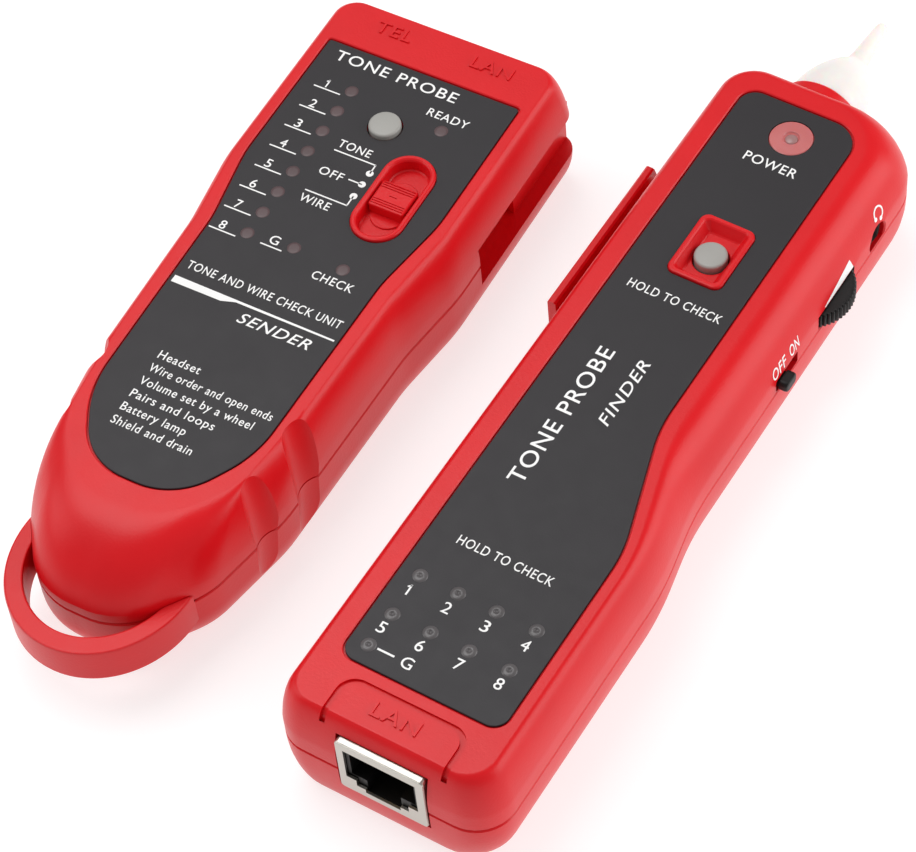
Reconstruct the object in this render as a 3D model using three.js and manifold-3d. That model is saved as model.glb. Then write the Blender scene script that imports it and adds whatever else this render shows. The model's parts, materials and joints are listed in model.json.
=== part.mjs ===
// Tone probe kit: two hand-held units for tracing and testing network and telephone cable.
// The emitter (with the hanging loop) sends the tone, and the receiver (with the probe nose) picks it up.
// Millimetres, +Z up. Both units lie on their backs on z = 0, and the kit's origin is the middle of its
// footprint. Each unit is modelled in its own frame: +Y along the unit, z = 0 at its back.
import * as THREE from 'three';
import { mergeVertices } from 'three/addons/utils/BufferGeometryUtils.js';
import { ParametricGeometry } from 'three/addons/geometries/ParametricGeometry.js';
import Module from 'manifold-3d';

const wasm = await Module();
wasm.setup();

// ---------------------------------------------------------------- driving dimensions (mm)

const WALL = 2;              // shell wall
const FLOOR = 3;             // bottom wall, thick enough to hold the battery door's recess
const GAP = 0.3;             // running gap between neighbouring pieces
const BEYOND = 60;           // further than any piece reaches, for cutting boxes
const HALF_SEAM = 0.15;      // half of the seam between the two shells of a unit
const ARC_STEPS = 4;         // straight steps in each rounded corner of an outline
const SHOULDER_STEPS = 3;    // rings between the side wall and the deck, and down to the flat back
const ROUND = 14;            // sides of a round piece
const SMALL_ROUND = 10;      // sides of a small one
const LAMP_ROUND = 8;        // sides of a lamp

// Outlines are [x, y, corner radius], anticlockwise.
const RECEIVER = {
  deckZ: 25,
  creaseZ: 16.5,             // where the shoulder ends and the plain side wall begins
  seamZ: 13,
  filletZ: 12,               // height of the rounded bottom edge
  wall: [[-6.9, -12, 6], [34.2, -12, 7], [34.2, 41, 60], [31.2, 57, 60], [31.2, 141, 11], [-6.9, 141, 8]],
  base: [[-2.4, -9.4, 4], [29.5, -9.4, 8], [29.5, 41, 50], [26.5, 57, 50], [26.5, 137, 9], [-2.4, 137, 5]],
  deck: [[-3.9, -9, 4], [30.8, -9, 5], [30.8, 38, 45], [24.2, 62, 45], [24.2, 137, 10], [-3.9, 137, 5]],
  label: [
    [-0.9, 0, 3], [29.2, 0, 3], [29.2, 38.2, 28], [22.2, 62, 28], [22.2, 133.6, 5.5], [-0.9, 133.6, 3.5],
  ],
};
const EMITTER = {
  deckZ: 26.5,
  creaseZ: 15.5,
  seamZ: 13,
  filletZ: 8,
  wall: [
    [24.1, 11.6, 4], [-24.1, 11.6, 4], [-24.1, -33, 40], [-22, -48, 40], [-21, -86, 30], [-17.4, -104, 16],
    [-8, -117, 13], [8, -117, 13], [17.4, -104, 16], [21, -86, 30], [22, -48, 40], [24.1, -33, 40],
  ],
  base: [
    [19.2, 7.5, 3], [-19.2, 7.5, 3], [-19.2, -33, 36], [-17.2, -48, 36], [-16.2, -84, 25], [-13, -100, 12],
    [-6.5, -109.5, 9], [6.5, -109.5, 9], [13, -100, 12], [16.2, -84, 25], [17.2, -48, 36], [19.2, -33, 36],
  ],
  deck: [
    [21, 9.6, 4], [-21, 9.6, 4], [-21, -30, 30], [-19.1, -45, 30], [-18.3, -72, 30], [-16.6, -91, 15],
    [-8.4, -102, 12], [8.4, -102, 12], [16.6, -91, 15], [18.3, -72, 30], [19.1, -45, 30], [21, -30, 30],
  ],
  label: [
    [19.4, 0, 0.8], [-19.4, 0, 0.8], [-19.4, -29.5, 30], [-16.9, -44.5, 30], [-16.2, -84.5, 22],
    [-8.6, -97.9, 12.5], [8.6, -97.9, 12.5], [16.2, -84.5, 22], [16.9, -44.5, 30], [19.4, -29.5, 30],
  ],
};
const LABEL_RECESS = 0.6;
const LABEL_THICK = 0.4;

// Where the emitter lies beside the receiver, in the receiver's frame.
const EMITTER_AT = [-51.6, 108.5];
const EMITTER_TURN_DEG = 2.37;

// Controls and lamps: [x, y] in the unit's own frame.
const LAMP_R = 1.5;
const EMITTER_LAMP_X = -9.4;
const EMITTER_LAMP_Y = -9.4;
const LAMP_PITCH = 5.08;
const EMITTER_GROUND_LAMP = [-0.5, -44.3];
const EMITTER_STATUS_LAMP = [9.3, -10.6];
const EMITTER_VERIFY_LAMP = [9.4, -44.8];
const RECEIVER_LAMP_COLUMNS = [3.06, 10.1, 17.2, 24.5];
const RECEIVER_LAMP_ROWS = [18.7, 10.4];
const RECEIVER_GROUND_LAMP = [2.8, 3.8];
const POWER_LAMP = [11.6, 126.5];
const POWER_LAMP_R = 2.5;
const POWER_WINDOW_R = 3.8;

const BUTTON_R = 2.9;
const EMITTER_BUTTON = [0, -14];
const TEST_BUTTON = [11.8, 97.6];
const TEST_WELL = { x: 11.75, y: 97.9, width: 10.3, length: 13.9, corner: 1.6, rim: 1.3 };
const MODE_WELL = { x: 9.4, y: -27.6, width: 9.7, length: 20, corner: 4.84, rim: 1 };
const RIM_HEIGHT = 0.5;      // how far a well's rim stands above the deck
const WELL_PLATE = 1.9;      // material under a well's floor

// Receiver side controls, on the right wall.
const SIDE_CONTROL_Z = 14.8;
const HEADPHONE_Y = 121.5;
const HEADPHONE_R = 2.8;
const WHEEL = { x: 26, y: 106.3, r: 8, thick: 3 };
const POWER_SLOT = { y: 88.6, length: 7.6, height: 2.8 };
const POWER_KNOB = { length: 3.6, height: 2.2, proud: 1.9 };

const SPEAKER = { x: 9, y: 112, r: 9 };
const SOUND_HOLES = { count: 6, ringR: 4.5, r: 0.8 };

// Network jack: a shielded eight-way modular socket. Telephone jack: a six-way one.
const JACK = { width: 16.2, height: 13.3, depth: 15 };
const PHONE_JACK = { width: 13.2, height: 13.3, depth: 15 };
const PLUG = {
  width: 11.8, phoneWidth: 9.8, height: 7.4, depth: 12.5, aboveBase: 4,
  notchWidth: 6.2, notchDepth: 9, notchAboveBase: 1,
};
const RECEIVER_JACK_X = 14.2;
const RECEIVER_JACK_TOP = 21.9;
const EMITTER_JACK_X = 9.2;
const PHONE_JACK_X = -9.9;
const EMITTER_JACK_Z = 3.4;
const EMITTER_JACK_SET_BACK = 1.5;   // how far its jacks' faces lie inside the port end

// Probe nose on the receiver's far end: [radius, distance from the end wall] along its axis.
const NOSE_AXIS = { x: 9.5, z: 14.5 };
const COLLAR_R = 8;
const COLLAR_OUT = 1;
const NOSE_PROFILE = [
  [7, 3], [6.9, 4.5], [6.3, 6.5], [5.4, 9], [4.1, 11.5], [2.4, 13.6], [1.9, 14.6], [1.5, 19.6], [1.15, 24.2],
  [0.6, 24.9],
];
const NOSE_LENGTH = 25;
const NOSE_NECK_R = 6;

// Dock: a rail on the receiver's left side slides along a channel in the emitter's right side.
const RAIL = {
  inner: -5, outer: -12.8, from: 84, to: 121, endSlope: 2.6,
  floorZ: 5.2, floorThick: 1.6, lipThick: 1.6, lipTop: 12.6,
};
const CHANNEL = {
  from: -25, stepY: -8.4, shallowX: 21.4, deepX: 20, lowZ: 8.1, highZ: 17.4, roofZ: 19, wallX: 18.2,
};

// Hanging loop at the emitter's lower end: two ellipses on one centre, cut off where they reach the shell.
const LOOP = {
  x: -0.5, y: -107.2, outer: [16.3, 18.2], inner: [13.2, 14.7], rootY: -103.5, lowZ: 7.2, highZ: 15,
};
// Finger scallops: cylinders whose axes pass the seam at these spots. Above it they lean inwards by the tilt.
const SCALLOP = { r: 4.5, spots: [[24.4, -79], [23.75, -91.2]], tilt: 0.17, run: 0.1 };

const BOARD_THICK = 1.6;
const RECEIVER_BOARD_Z = 6.4;
const EMITTER_BOARD_Z = 17;
const BATTERY = { width: 26, length: 46.4, height: 17, z: 3.3, studR: 2.9, studGap: 12.7, studLength: 1.7 };
const RECEIVER_BATTERY = { x: 12.8, y: 31 };
const EMITTER_BATTERY = { x: 0, y: -97 };
const SNAP = { length: 4.2, height: 12 };
const DOOR = { width: 27.4, length: 51.4, thick: 1.5, z: 0.4, travel: 6 };
const DOOR_RECESS_Z = 2.2;

const SCREW = { headR: 2.4, headThick: 1.7, shankR: 1.1, length: 13, recess: 3.2, bossR: 3.2, pilotR: 1.4 };
const RECEIVER_SCREWS = [[2.2, 130.5], [13.6, 25]];
const EMITTER_SCREWS = [[-15.8, -36.5], [15.8, -36.5]];

const COLOUR = {
  red: 0xc8323a, label: 0x454346, grey: 0xb2afaa, black: 0x1c1b1c, milk: 0xe9e5e1, board: 0x1e5c38,
  metal: 0xc9c6c0, steel: 0x8f9092, lens: 0xcc7478, lamp: 0x8c3a3c, battery: 0x3f4650, brass: 0xb9985a,
};

// ---------------------------------------------------------------- outlines

// Points of a closed outline whose corners are rounded.
function outline(corners, steps = ARC_STEPS) {
  const points = [];
  corners.forEach(([x, y, radius], index) => {
    const corner = new THREE.Vector2(x, y);
    const before = corners[(index + corners.length - 1) % corners.length];
    const after = corners[(index + 1) % corners.length];
    const back = new THREE.Vector2(before[0], before[1]).sub(corner).normalize();
    const ahead = new THREE.Vector2(after[0], after[1]).sub(corner).normalize();
    const half = Math.acos(THREE.MathUtils.clamp(back.dot(ahead), -1, 1)) / 2;
    const start = corner.clone().addScaledVector(back, radius / Math.tan(half));
    const end = corner.clone().addScaledVector(ahead, radius / Math.tan(half));
    const bisector = back.clone().add(ahead).normalize();
    const centre = corner.clone().addScaledVector(bisector, radius / Math.sin(half));
    const from = start.clone().sub(centre).angle();
    let sweep = end.clone().sub(centre).angle() - from;
    if (sweep > Math.PI) sweep -= 2 * Math.PI;
    if (sweep < -Math.PI) sweep += 2 * Math.PI;
    for (let step = 0; step <= steps; step += 1) {
      const angle = from + (sweep * step) / steps;
      points.push(new THREE.Vector2(Math.cos(angle), Math.sin(angle)).multiplyScalar(radius).add(centre));
    }
  });
  return points;
}

// The same outline moved inwards by a distance (outwards when it is negative).
function inset(corners, distance) {
  return corners.map(([x, y, radius], index) => {
    const before = corners[(index + corners.length - 1) % corners.length];
    const after = corners[(index + 1) % corners.length];
    const inNormal = new THREE.Vector2(before[1] - y, x - before[0]).normalize();
    const outNormal = new THREE.Vector2(y - after[1], after[0] - x).normalize();
    const shift = inNormal.clone().add(outNormal).multiplyScalar(distance / (1 + inNormal.dot(outNormal)));
    const turn = (x - before[0]) * (after[1] - y) - (y - before[1]) * (after[0] - x);
    const newRadius = turn > 0 ? radius - distance : radius + distance;
    return [x + shift.x, y + shift.y, Math.max(newRadius, 0.5)];
  });
}

function mix(from, to, share) {
  return from.map((point, index) => point.clone().lerp(to[index], share));
}

function rectangle(x, y, width, length, corner = 0.5) {
  const [w, l] = [width / 2, length / 2];
  return [[x - w, y - l, corner], [x + w, y - l, corner], [x + w, y + l, corner], [x - w, y + l, corner]];
}

// ---------------------------------------------------------------- solids

function solid(geometry) {
  const bare = geometry.clone();
  ['normal', 'uv'].forEach((name) => bare.deleteAttribute(name));
  const merged = mergeVertices(bare, 1e-4);
  const triangles = [];
  for (let i = 0; i < merged.index.count; i += 3) {
    const [a, b, c] = [merged.index.getX(i), merged.index.getX(i + 1), merged.index.getX(i + 2)];
    if (a !== b && b !== c && c !== a) triangles.push(a, b, c);
  }
  const vertProperties = new Float32Array(merged.attributes.position.array);
  const triVerts = new Uint32Array(triangles);
  return new wasm.Manifold(new wasm.Mesh({ numProp: 3, vertProperties, triVerts }));
}

function join(first, ...others) {
  return others.reduce((sum, other) => sum.add(other), first);
}

function cut(first, ...tools) {
  return tools.reduce((rest, tool) => rest.subtract(tool), first);
}

// A closed skin through rings of matching points, each ring { points, z }, listed from the bottom up.
function loft(rings) {
  const middle = (ring) => {
    const sum = ring.points.reduce((total, point) => total.add(point), new THREE.Vector2());
    return sum.divideScalar(ring.points.length);
  };
  const count = rings[0].points.length;
  const rows = rings.length + 1;
  const place = (u, v, target) => {
    const row = Math.round(v * rows);
    const ring = rings[Math.min(Math.max(row - 1, 0), rings.length - 1)];
    const isPole = row === 0 || row === rows;
    const point = isPole ? middle(ring) : ring.points[Math.round(u * count) % count];
    target.set(point.x, point.y, ring.z);
  };
  return solid(new ParametricGeometry(place, count, rows));
}

function prism(corners, lowZ, highZ, steps = ARC_STEPS) {
  const shape = new THREE.Shape(outline(corners, steps));
  const geometry = new THREE.ExtrudeGeometry(shape, { depth: highZ - lowZ, bevelEnabled: false });
  return solid(geometry.translate(0, 0, lowZ));
}

function box(low, high) {
  const size = high.map((value, axis) => value - low[axis]);
  const centre = high.map((value, axis) => (value + low[axis]) / 2);
  return solid(new THREE.BoxGeometry(...size).translate(...centre));
}

// A piece turned about a vertical axis at (x, y): profile is [radius, z] from the bottom up.
function turned([x, y], profile, sides = ROUND) {
  const points = profile.map(([radius, z]) => new THREE.Vector2(radius, z));
  const geometry = new THREE.LatheGeometry(points, sides).rotateX(Math.PI / 2).translate(x, y, 0);
  return solid(geometry);
}

function rod([x, y], radius, lowZ, highZ, sides = ROUND) {
  return turned([x, y], [[0, lowZ], [radius, lowZ], [radius, highZ], [0, highZ]], sides);
}

// A round bar along X, used for the headphone socket.
function barAlongX(y, z, radius, lowX, highX, sides = ROUND) {
  const geometry = new THREE.CylinderGeometry(radius, radius, highX - lowX, sides).rotateZ(Math.PI / 2);
  return solid(geometry.translate((lowX + highX) / 2, y, z));
}

function elliptic(x, y, [halfX, halfY], lowZ, highZ, steps = 40) {
  const shape = new THREE.Shape(new THREE.EllipseCurve(x, y, halfX, halfY).getPoints(steps).slice(0, -1));
  const geometry = new THREE.ExtrudeGeometry(shape, { depth: highZ - lowZ, bevelEnabled: false });
  return solid(geometry.translate(0, 0, lowZ));
}

function mesh(name, body, colour, roughness = 0.45, metalness = 0) {
  const { vertProperties, triVerts } = body.getMesh();
  const geometry = new THREE.BufferGeometry();
  geometry.setAttribute('position', new THREE.BufferAttribute(vertProperties, 3));
  geometry.setIndex(new THREE.BufferAttribute(triVerts, 1));
  const material = new THREE.MeshStandardMaterial({ color: colour, roughness, metalness });
  const made = new THREE.Mesh(geometry, material);
  made.name = name;
  return made;
}

// ---------------------------------------------------------------- shells

// Rings from the side wall up over the rounded shoulder to the deck, moved inwards by a wall thickness.
function upperRings(unit, lowZ, inwards) {
  const wall = outline(inset(unit.wall, inwards));
  const deck = outline(inset(unit.deck, inwards));
  const topZ = unit.deckZ - inwards;
  const rings = [{ points: wall, z: lowZ }];
  for (let step = 0; step <= SHOULDER_STEPS; step += 1) {
    const angle = ((SHOULDER_STEPS - step) / SHOULDER_STEPS) * (Math.PI / 2);
    const z = unit.creaseZ + (topZ - unit.creaseZ) * Math.cos(angle);
    rings.push({ points: mix(deck, wall, Math.sin(angle)), z });
  }
  return rings;
}

// Rings from the flat back (or a floor above it) up over the rounded bottom edge to the side wall.
function lowerRings(unit, floorZ, highZ, inwards) {
  const wall = outline(inset(unit.wall, inwards));
  const base = outline(inset(unit.base, inwards));
  const startAngle = Math.acos(1 - floorZ / unit.filletZ);
  const rings = [];
  for (let step = 0; step <= SHOULDER_STEPS; step += 1) {
    const angle = startAngle + (Math.PI / 2 - startAngle) * (step / SHOULDER_STEPS);
    rings.push({ points: mix(base, wall, Math.sin(angle)), z: unit.filletZ * (1 - Math.cos(angle)) });
  }
  rings.push({ points: wall, z: highZ });
  return rings;
}

function topShellBlank(unit) {
  const outside = loft(upperRings(unit, unit.seamZ + HALF_SEAM, 0));
  const inside = loft(upperRings(unit, unit.seamZ - 1, WALL));
  const recess = prism(unit.label, unit.deckZ - LABEL_RECESS, unit.deckZ + 1);
  return cut(outside, inside, recess);
}

function bottomOutside(unit) {
  return loft(lowerRings(unit, 0, unit.seamZ - HALF_SEAM, 0));
}

function bottomShellBlank(unit) {
  const inside = loft(lowerRings(unit, FLOOR, unit.seamZ + 1, WALL));
  return cut(bottomOutside(unit), inside);
}

// A sunken well with a raised rim: what is added to the shell, and what is then taken out of it.
function well(place, unit, floorZ) {
  const outer = rectangle(place.x, place.y, place.width, place.length, place.corner);
  const inner = rectangle(
    place.x, place.y, place.width - 2 * place.rim, place.length - 2 * place.rim, place.corner - place.rim,
  );
  return {
    added: prism(outer, floorZ - WELL_PLATE, unit.deckZ + RIM_HEIGHT),
    taken: prism(inner, floorZ, unit.deckZ + 1),
    labelHole: prism(inset(outer, -GAP / 2), unit.deckZ - 1, unit.deckZ + 1),
  };
}

function screwTower([x, y], unit) {
  const headZ = SCREW.recess;
  return {
    bottomAdded: rod([x, y], SCREW.bossR, headZ - 1, unit.seamZ - 1),
    bottomTaken: join(
      rod([x, y], SCREW.headR + GAP, -1, headZ),
      rod([x, y], SCREW.shankR + GAP, headZ - 1, unit.seamZ),
    ),
    topAdded: rod([x, y], SCREW.bossR - 0.4, unit.seamZ, unit.deckZ - 1),
    topTaken: rod([x, y], SCREW.pilotR, unit.seamZ - 1, headZ + SCREW.length + GAP),
  };
}

// ---------------------------------------------------------------- small pieces

// A round lamp on two legs: dome on top, a flange at its foot.
function lamp([x, y], radius, boardTop, domeTop) {
  const height = radius * 3.2;
  const foot = domeTop - height;
  const dome = [[radius, domeTop - radius], [radius * 0.75, domeTop - radius * 0.34], [0, domeTop]];
  const flange = [[0, foot], [radius * 1.12, foot], [radius * 1.12, foot + 0.8], [radius, foot + 0.8]];
  const legs = [-0.85 * radius, 0.85 * radius].map((offset) => (
    box([x + offset - 0.25, y - 0.25, boardTop + GAP], [x + offset + 0.25, y + 0.25, foot + 0.5])
  ));
  return join(turned([x, y], [...flange, ...dome], LAMP_ROUND), ...legs);
}

// A modular jack's housing: a block with the plug's space and, under it, the notch for the plug's latch.
// `inward` is the direction in Y that the plug goes in.
function jackHousing(size, x, faceY, lowZ, inward, plugWidth) {
  const { width, height, depth } = size;
  const span = (halfWidth, from, to, low, high) => box(
    [x - halfWidth, Math.min(from, to), low], [x + halfWidth, Math.max(from, to), high],
  );
  const mouth = (halfWidth, low, high, deep) => span(
    halfWidth, faceY - inward, faceY + inward * deep, low, high,
  );
  const plugLow = lowZ + PLUG.aboveBase;
  return cut(
    span(width / 2, faceY, faceY + inward * depth, lowZ, lowZ + height),
    mouth(plugWidth / 2, plugLow, plugLow + PLUG.height, PLUG.depth),
    mouth(PLUG.notchWidth / 2, lowZ + PLUG.notchAboveBase, plugLow + 1, PLUG.notchDepth),
  );
}

function battery({ x, y }) {
  const { width, length, height, z, studR, studGap, studLength } = BATTERY;
  const middleZ = z + height / 2;
  const block = box([x - width / 2, y, z], [x + width / 2, y + length, z + height]);
  const studs = [-1, 1].map((side) => {
    const stud = new THREE.CylinderGeometry(studR, studR, studLength + 1, 12);
    return solid(stud.translate(x + (side * studGap) / 2, y + length + (studLength - 1) / 2, middleZ));
  });
  return join(block, ...studs);
}

function batterySnap({ x, y }) {
  const startY = y + BATTERY.length + GAP;
  const middleZ = BATTERY.z + BATTERY.height / 2;
  const half = SNAP.height / 2;
  const width = BATTERY.width / 2 - 1;
  const block = box([x - width, startY, middleZ - half], [x + width, startY + SNAP.length, middleZ + half]);
  const sockets = [-1, 1].map((side) => {
    const socketR = BATTERY.studR + GAP;
    const socket = new THREE.CylinderGeometry(socketR, socketR, 2 * BATTERY.studLength + 1, 12);
    return solid(socket.translate(x + (side * BATTERY.studGap) / 2, startY, middleZ));
  });
  return cut(block, ...sockets);
}

// Flat sliding door over the battery, with three thumb grooves across its outer face.
function batteryDoor({ x, y }) {
  const middleY = y + BATTERY.length / 2 + 1.5;
  const plate = prism(rectangle(x, middleY, DOOR.width, DOOR.length, 1.5), DOOR.z, DOOR.z + DOOR.thick, 2);
  const grooves = [0, 1, 2].map((row) => {
    const grooveY = middleY + DOOR.length / 2 - 5 - row * 2.4;
    return box([x - 6, grooveY - 0.5, -1], [x + 6, grooveY + 0.5, DOOR.z + 0.5]);
  });
  return cut(plate, ...grooves);
}

// The door's recess in the bottom shell, long enough for it to slide along +Y, and the bay's mouth behind it.
function doorRecess({ x, y }) {
  const middleY = y + BATTERY.length / 2 + 1.5;
  const room = DOOR.travel + 2 * GAP;
  const recess = rectangle(
    x, middleY + room / 2, DOOR.width + 2 * GAP, DOOR.length + room + 2 * GAP, 1.7,
  );
  const bay = rectangle(x, middleY, DOOR.width - 1.6, DOOR.length - 1.8, 1);
  return join(prism(recess, -1, DOOR_RECESS_Z, 2), prism(bay, DOOR_RECESS_Z - 0.5, FLOOR + 1, 2));
}

function screw([x, y]) {
  const { headR, headThick, shankR, length, recess } = SCREW;
  const headZ = recess - GAP;
  const profile = [
    [0, headZ - headThick], [headR * 0.8, headZ - headThick], [headR, headZ - headThick / 2], [headR, headZ],
    [shankR, headZ], [shankR, headZ + length - 1], [0, headZ + length],
  ];
  const slot = box([x - 0.4, y - 1.7, headZ - headThick - 1], [x + 0.4, y + 1.7, headZ - headThick + 0.7]);
  return cut(turned([x, y], profile, 12), slot);
}

// A push button: cap through the deck, flange under it, and a plunger down to its switch.
function pushButton([x, y], topZ, flangeTop, stemBottom) {
  const edge = 0.35;
  return turned([x, y], [
    [0, stemBottom], [1.5, stemBottom], [1.5, flangeTop - 1], [BUTTON_R + 0.9, flangeTop - 1],
    [BUTTON_R + 0.9, flangeTop], [BUTTON_R, flangeTop], [BUTTON_R, topZ - edge], [BUTTON_R - edge, topZ],
    [0, topZ],
  ], 18);
}

function pushSwitch([x, y], boardTop, plungerTop) {
  const body = box([x - 3, y - 3, boardTop + 0.1], [x + 3, y + 3, plungerTop - 0.8]);
  return join(body, rod([x, y], 1.6, plungerTop - 1.2, plungerTop, 12));
}

// ---------------------------------------------------------------- receiver

function receiver() {
  const unit = RECEIVER;
  const group = new THREE.Group();
  const boardTop = RECEIVER_BOARD_Z + BOARD_THICK;
  const lampSpots = RECEIVER_LAMP_ROWS.flatMap((y) => RECEIVER_LAMP_COLUMNS.map((x) => [x, y]));
  const towers = RECEIVER_SCREWS.map((spot) => screwTower(spot, unit));
  const testWell = well(TEST_WELL, unit, unit.deckZ - 1.6);
  const jackLow = RECEIVER_JACK_TOP - JACK.height;
  const wallX = unit.wall[3][0];
  const wallY = unit.wall[4][1];
  const faceY = unit.wall[0][1] - GAP;

  const jackMouth = box(
    [RECEIVER_JACK_X - JACK.width / 2 - GAP, faceY - 3, jackLow - GAP],
    [RECEIVER_JACK_X + JACK.width / 2 + GAP, faceY + 6, RECEIVER_JACK_TOP + GAP],
  );
  const noseRing = (radius, from, to) => {
    const geometry = new THREE.CylinderGeometry(radius, radius, to - from, 24);
    return solid(geometry.translate(NOSE_AXIS.x, (from + to) / 2, NOSE_AXIS.z));
  };
  const collar = noseRing(COLLAR_R, wallY - 1.5, wallY + COLLAR_OUT);
  const noseBore = noseRing(NOSE_NECK_R + GAP, wallY - 6, wallY + COLLAR_OUT + 1);
  const seamCut = (keepHigh) => {
    const [low, high] = keepHigh ? [-BEYOND, unit.seamZ + HALF_SEAM] : [unit.seamZ - HALF_SEAM, BEYOND];
    return box([-BEYOND, wallY - 10, low], [BEYOND, wallY + BEYOND, high]);
  };
  const wheelRoom = WHEEL.thick / 2 + GAP;
  const wheelSlot = rod(
    [WHEEL.x, WHEEL.y], WHEEL.r + GAP, SIDE_CONTROL_Z - wheelRoom, SIDE_CONTROL_Z + wheelRoom, 32,
  );
  const powerSlot = box(
    [wallX - 5, POWER_SLOT.y - POWER_SLOT.length / 2, SIDE_CONTROL_Z - POWER_SLOT.height / 2],
    [wallX + 5, POWER_SLOT.y + POWER_SLOT.length / 2, SIDE_CONTROL_Z + POWER_SLOT.height / 2],
  );
  const headphoneHole = barAlongX(HEADPHONE_Y, SIDE_CONTROL_Z, HEADPHONE_R, wallX - 5, wallX + 5);

  // Top shell.
  const lampHoles = [...lampSpots, RECEIVER_GROUND_LAMP].map((spot) => (
    rod(spot, LAMP_R + GAP, unit.deckZ - 4, unit.deckZ + 1, SMALL_ROUND)
  ));
  const groove = cut(
    prism(rectangle(RECEIVER_JACK_X, -10.2, 22.4, 16, 3), unit.deckZ - 0.4, unit.deckZ + 1),
    prism(rectangle(RECEIVER_JACK_X, -11, 20.8, 16, 2.4), unit.deckZ - 2, unit.deckZ + 2),
  );
  const topShell = cut(
    join(
      topShellBlank(unit), ...towers.map((tower) => tower.topAdded), testWell.added,
      cut(collar, seamCut(true)),
    ),
    ...towers.map((tower) => tower.topTaken), testWell.taken, ...lampHoles, groove, jackMouth, noseBore,
    rod(TEST_BUTTON, BUTTON_R + GAP, unit.deckZ - 6, unit.deckZ + 1, 20),
    rod(POWER_LAMP, POWER_LAMP_R + GAP, unit.deckZ - 4, unit.deckZ + 1),
    wheelSlot, powerSlot, headphoneHole,
  );
  group.add(mesh('receiver_top_shell', topShell, COLOUR.red));

  // Bottom shell, with the dock rail on its left side and sound holes under the speaker.
  const railFloor = box(
    [RAIL.outer, RAIL.from, RAIL.floorZ], [RAIL.inner, RAIL.to, RAIL.floorZ + RAIL.floorThick],
  );
  const lipProfile = new THREE.Shape([
    new THREE.Vector2(RAIL.from, RAIL.floorZ), new THREE.Vector2(RAIL.to, RAIL.floorZ),
    new THREE.Vector2(RAIL.to - RAIL.endSlope, RAIL.lipTop), new THREE.Vector2(RAIL.from, RAIL.lipTop),
  ]);
  const lipGeometry = new THREE.ExtrudeGeometry(lipProfile, { depth: RAIL.lipThick, bevelEnabled: false });
  const railLip = solid(lipGeometry.rotateX(Math.PI / 2).rotateZ(Math.PI / 2).translate(RAIL.outer, 0, 0));
  const soundHoles = Array.from({ length: SOUND_HOLES.count }, (_, index) => {
    const angle = (index * 2 * Math.PI) / SOUND_HOLES.count;
    const x = SPEAKER.x + SOUND_HOLES.ringR * Math.cos(angle);
    const y = SPEAKER.y + SOUND_HOLES.ringR * Math.sin(angle);
    return rod([x, y], SOUND_HOLES.r, -1, FLOOR + 1, 8);
  });
  const bottomShell = cut(
    join(
      bottomShellBlank(unit), ...towers.map((tower) => tower.bottomAdded), railFloor, railLip,
      cut(collar, seamCut(false)),
    ),
    ...towers.map((tower) => tower.bottomTaken), doorRecess(RECEIVER_BATTERY), jackMouth, noseBore,
    ...soundHoles,
  );
  group.add(mesh('receiver_bottom_shell', bottomShell, COLOUR.red));

  // Printed label in its recess.
  const labelLow = unit.deckZ - LABEL_RECESS + 0.1;
  const labelFilm = cut(
    prism(inset(unit.label, GAP), labelLow, labelLow + LABEL_THICK),
    testWell.labelHole,
    rod(POWER_LAMP, POWER_WINDOW_R + GAP / 2, unit.deckZ - 2, unit.deckZ + 1, 20),
  );
  group.add(mesh('receiver_label', labelFilm, COLOUR.label, 0.4));
  const lens = rod(POWER_LAMP, POWER_WINDOW_R, labelLow, labelLow + LABEL_THICK, 20);
  group.add(mesh('receiver_power_window', lens, COLOUR.lens, 0.3));

  // Circuit board: one board round the battery, cut away at the screw towers.
  const board = cut(
    prism([[-3.8, -8.6, 2.5], [28.2, -8.6, 3], [28.2, 132, 4], [-3.8, 132, 4]], RECEIVER_BOARD_Z, boardTop),
    box(
      [RECEIVER_BATTERY.x - BATTERY.width / 2 - 0.5, RECEIVER_BATTERY.y - 1.5, 0],
      [RECEIVER_BATTERY.x + BATTERY.width / 2 + 0.5, RECEIVER_BATTERY.y + BATTERY.length + 6.5, 30],
    ),
    ...RECEIVER_SCREWS.map((spot) => rod(spot, SCREW.bossR + GAP, 0, 20)),
  );
  group.add(mesh('receiver_board', board, COLOUR.board, 0.5));
  group.add(mesh('receiver_battery', battery(RECEIVER_BATTERY), COLOUR.battery));
  group.add(mesh('receiver_battery_snap', batterySnap(RECEIVER_BATTERY), COLOUR.black));
  group.add(mesh('receiver_battery_door', batteryDoor(RECEIVER_BATTERY), COLOUR.red));

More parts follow.
